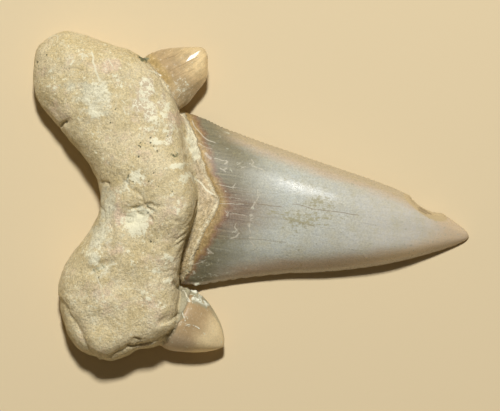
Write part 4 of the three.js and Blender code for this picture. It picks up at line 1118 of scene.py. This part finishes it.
def fossil_material():
    sh = Shade("fossil_tooth")
    ragged = sh.add(sh.about_nought(sh.noise(2.0, 2), 0.9), sh.about_nought(sh.speck, 0.8))
    edge = sh.add(sh.field("beyond"), ragged)
    root = sh.field("root")
    enamel = sh.times(sh.ramp(edge, -0.2, 0.15), sh.math("SUBTRACT", 1.0, root))
    cusplet = sh.add(sh.field("upper_cusplet"), sh.field("lower_cusplet"))
    coated = sh.blend(cusplet, crown_colour(sh, edge), cusplet_colour(sh))
    bare = sh.blend(root, neck_colour(sh, edge), root_colour(sh))
    sh.feed(sh.shader.inputs["Base Color"], sh.blend(enamel, bare, coated))
    # Glossy on the crown and the upper cusplet, dull at the crown's base, matt on the root.
    body = sh.ramp(sh.field("along"), 9.0, 15.0, 0.42, 0.24)
    smooth = sh.choose(cusplet, body, sh.choose(sh.field("lower_cusplet"), 0.15, 0.4))
    marked = sh.add(sh.line("crust"), sh.add(sh.field("crown white"), sh.times(sh.field("olive"), 0.5)))
    gloss = sh.add(sh.add(smooth, sh.ramp(sh.speck, 0.3, 0.7, 0.14)), sh.times(marked, 0.25))
    matt = sh.ramp(sh.noise(0.8), 0.3, 0.7, 0.62, 0.85)
    sh.feed(sh.shader.inputs["Roughness"], sh.choose(enamel, matt, sh.math("MINIMUM", gloss, 0.9)))
    grit = sh.add(sh.noise(0.9, 5, 0.65), sh.times(sh.grain, 0.6))
    grit = sh.add(grit, sh.times(sh.line("crease"), -0.8))
    lines = sh.times(sh.streaks(5.0, 0.35, 7.0), 0.05)
    sparkle = sh.times(sh.grain, sh.choose(cusplet, 0.2, 0.05))
    height = sh.choose(enamel, sh.times(grit, 1.25), sh.add(lines, sparkle))
    bump = sh.node("Bump", {"Height": height, "Distance": 0.0002, "Strength": 1.0})
    sh.feed(sh.shader.inputs["Normal"], bump)
    return sh.material


def floor_material():
    material = bpy.data.materials.new("floor")
    material.use_nodes = True
    shader = material.node_tree.nodes["Principled BSDF"]
    shader.inputs["Base Color"].default_value = (*FLOOR_COLOUR, 1)
    shader.inputs["Roughness"].default_value = FLOOR_ROUGHNESS
    return material


# ------------------------------------------------------------------ stage, light, camera

# In mm: the floor across the picture and its middle point, the camera's height and its sensor.
VIEW_WIDTH = 73.0
VIEW_CENTRE = (-0.24, -1.39)
CAMERA_HEIGHT = 450.0
SENSOR = 36.0
# In metres and watts.
CLIP_START = 0.01
LIGHT_DISTANCE = 0.6
LIGHT_SIZE = 0.06
LIGHT_POWER = 3.5
FLOOR_SIZE = 4
LIGHT_ELEVATION = math.radians(62)
SKY_COLOUR, SKY_STRENGTH = (1.0, 0.82, 0.58), 0.08


def make_stage():
    bpy.ops.mesh.primitive_plane_add(size=FLOOR_SIZE, location=(0, 0, 0))
    floor = bpy.context.object
    floor.name = "floor"
    floor.data.materials.append(floor_material())


def make_camera():
    camera = bpy.data.objects.new("camera", bpy.data.cameras.new("camera"))
    bpy.context.scene.collection.objects.link(camera)
    camera.location = (VIEW_CENTRE[0] * MM, VIEW_CENTRE[1] * MM, CAMERA_HEIGHT * MM)
    camera.data.sensor_width = SENSOR
    camera.data.lens = SENSOR * CAMERA_HEIGHT / VIEW_WIDTH
    camera.data.clip_start = CLIP_START
    bpy.context.scene.camera = camera


def make_lights():
    key = bpy.data.objects.new("key", bpy.data.lights.new("key", "AREA"))
    bpy.context.scene.collection.objects.link(key)
    key.data.size = LIGHT_SIZE
    key.data.energy = LIGHT_POWER
    toward = Vector((0, math.cos(LIGHT_ELEVATION), math.sin(LIGHT_ELEVATION)))
    key.location = toward * LIGHT_DISTANCE
    key.rotation_euler = toward.to_track_quat("Z", "Y").to_euler()
    world = bpy.data.worlds.new("studio")
    world.use_nodes = True
    background = world.node_tree.nodes["Background"]
    background.inputs["Color"].default_value = (*SKY_COLOUR, 1)
    background.inputs["Strength"].default_value = SKY_STRENGTH
    bpy.context.scene.world = world
    bpy.context.scene.view_settings.view_transform = "Standard"


make_camera()
make_lights()
make_stage()
tooth = make_tooth()
tooth.data.materials.append(fossil_material())
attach(tooth, "root")
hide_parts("tooth")
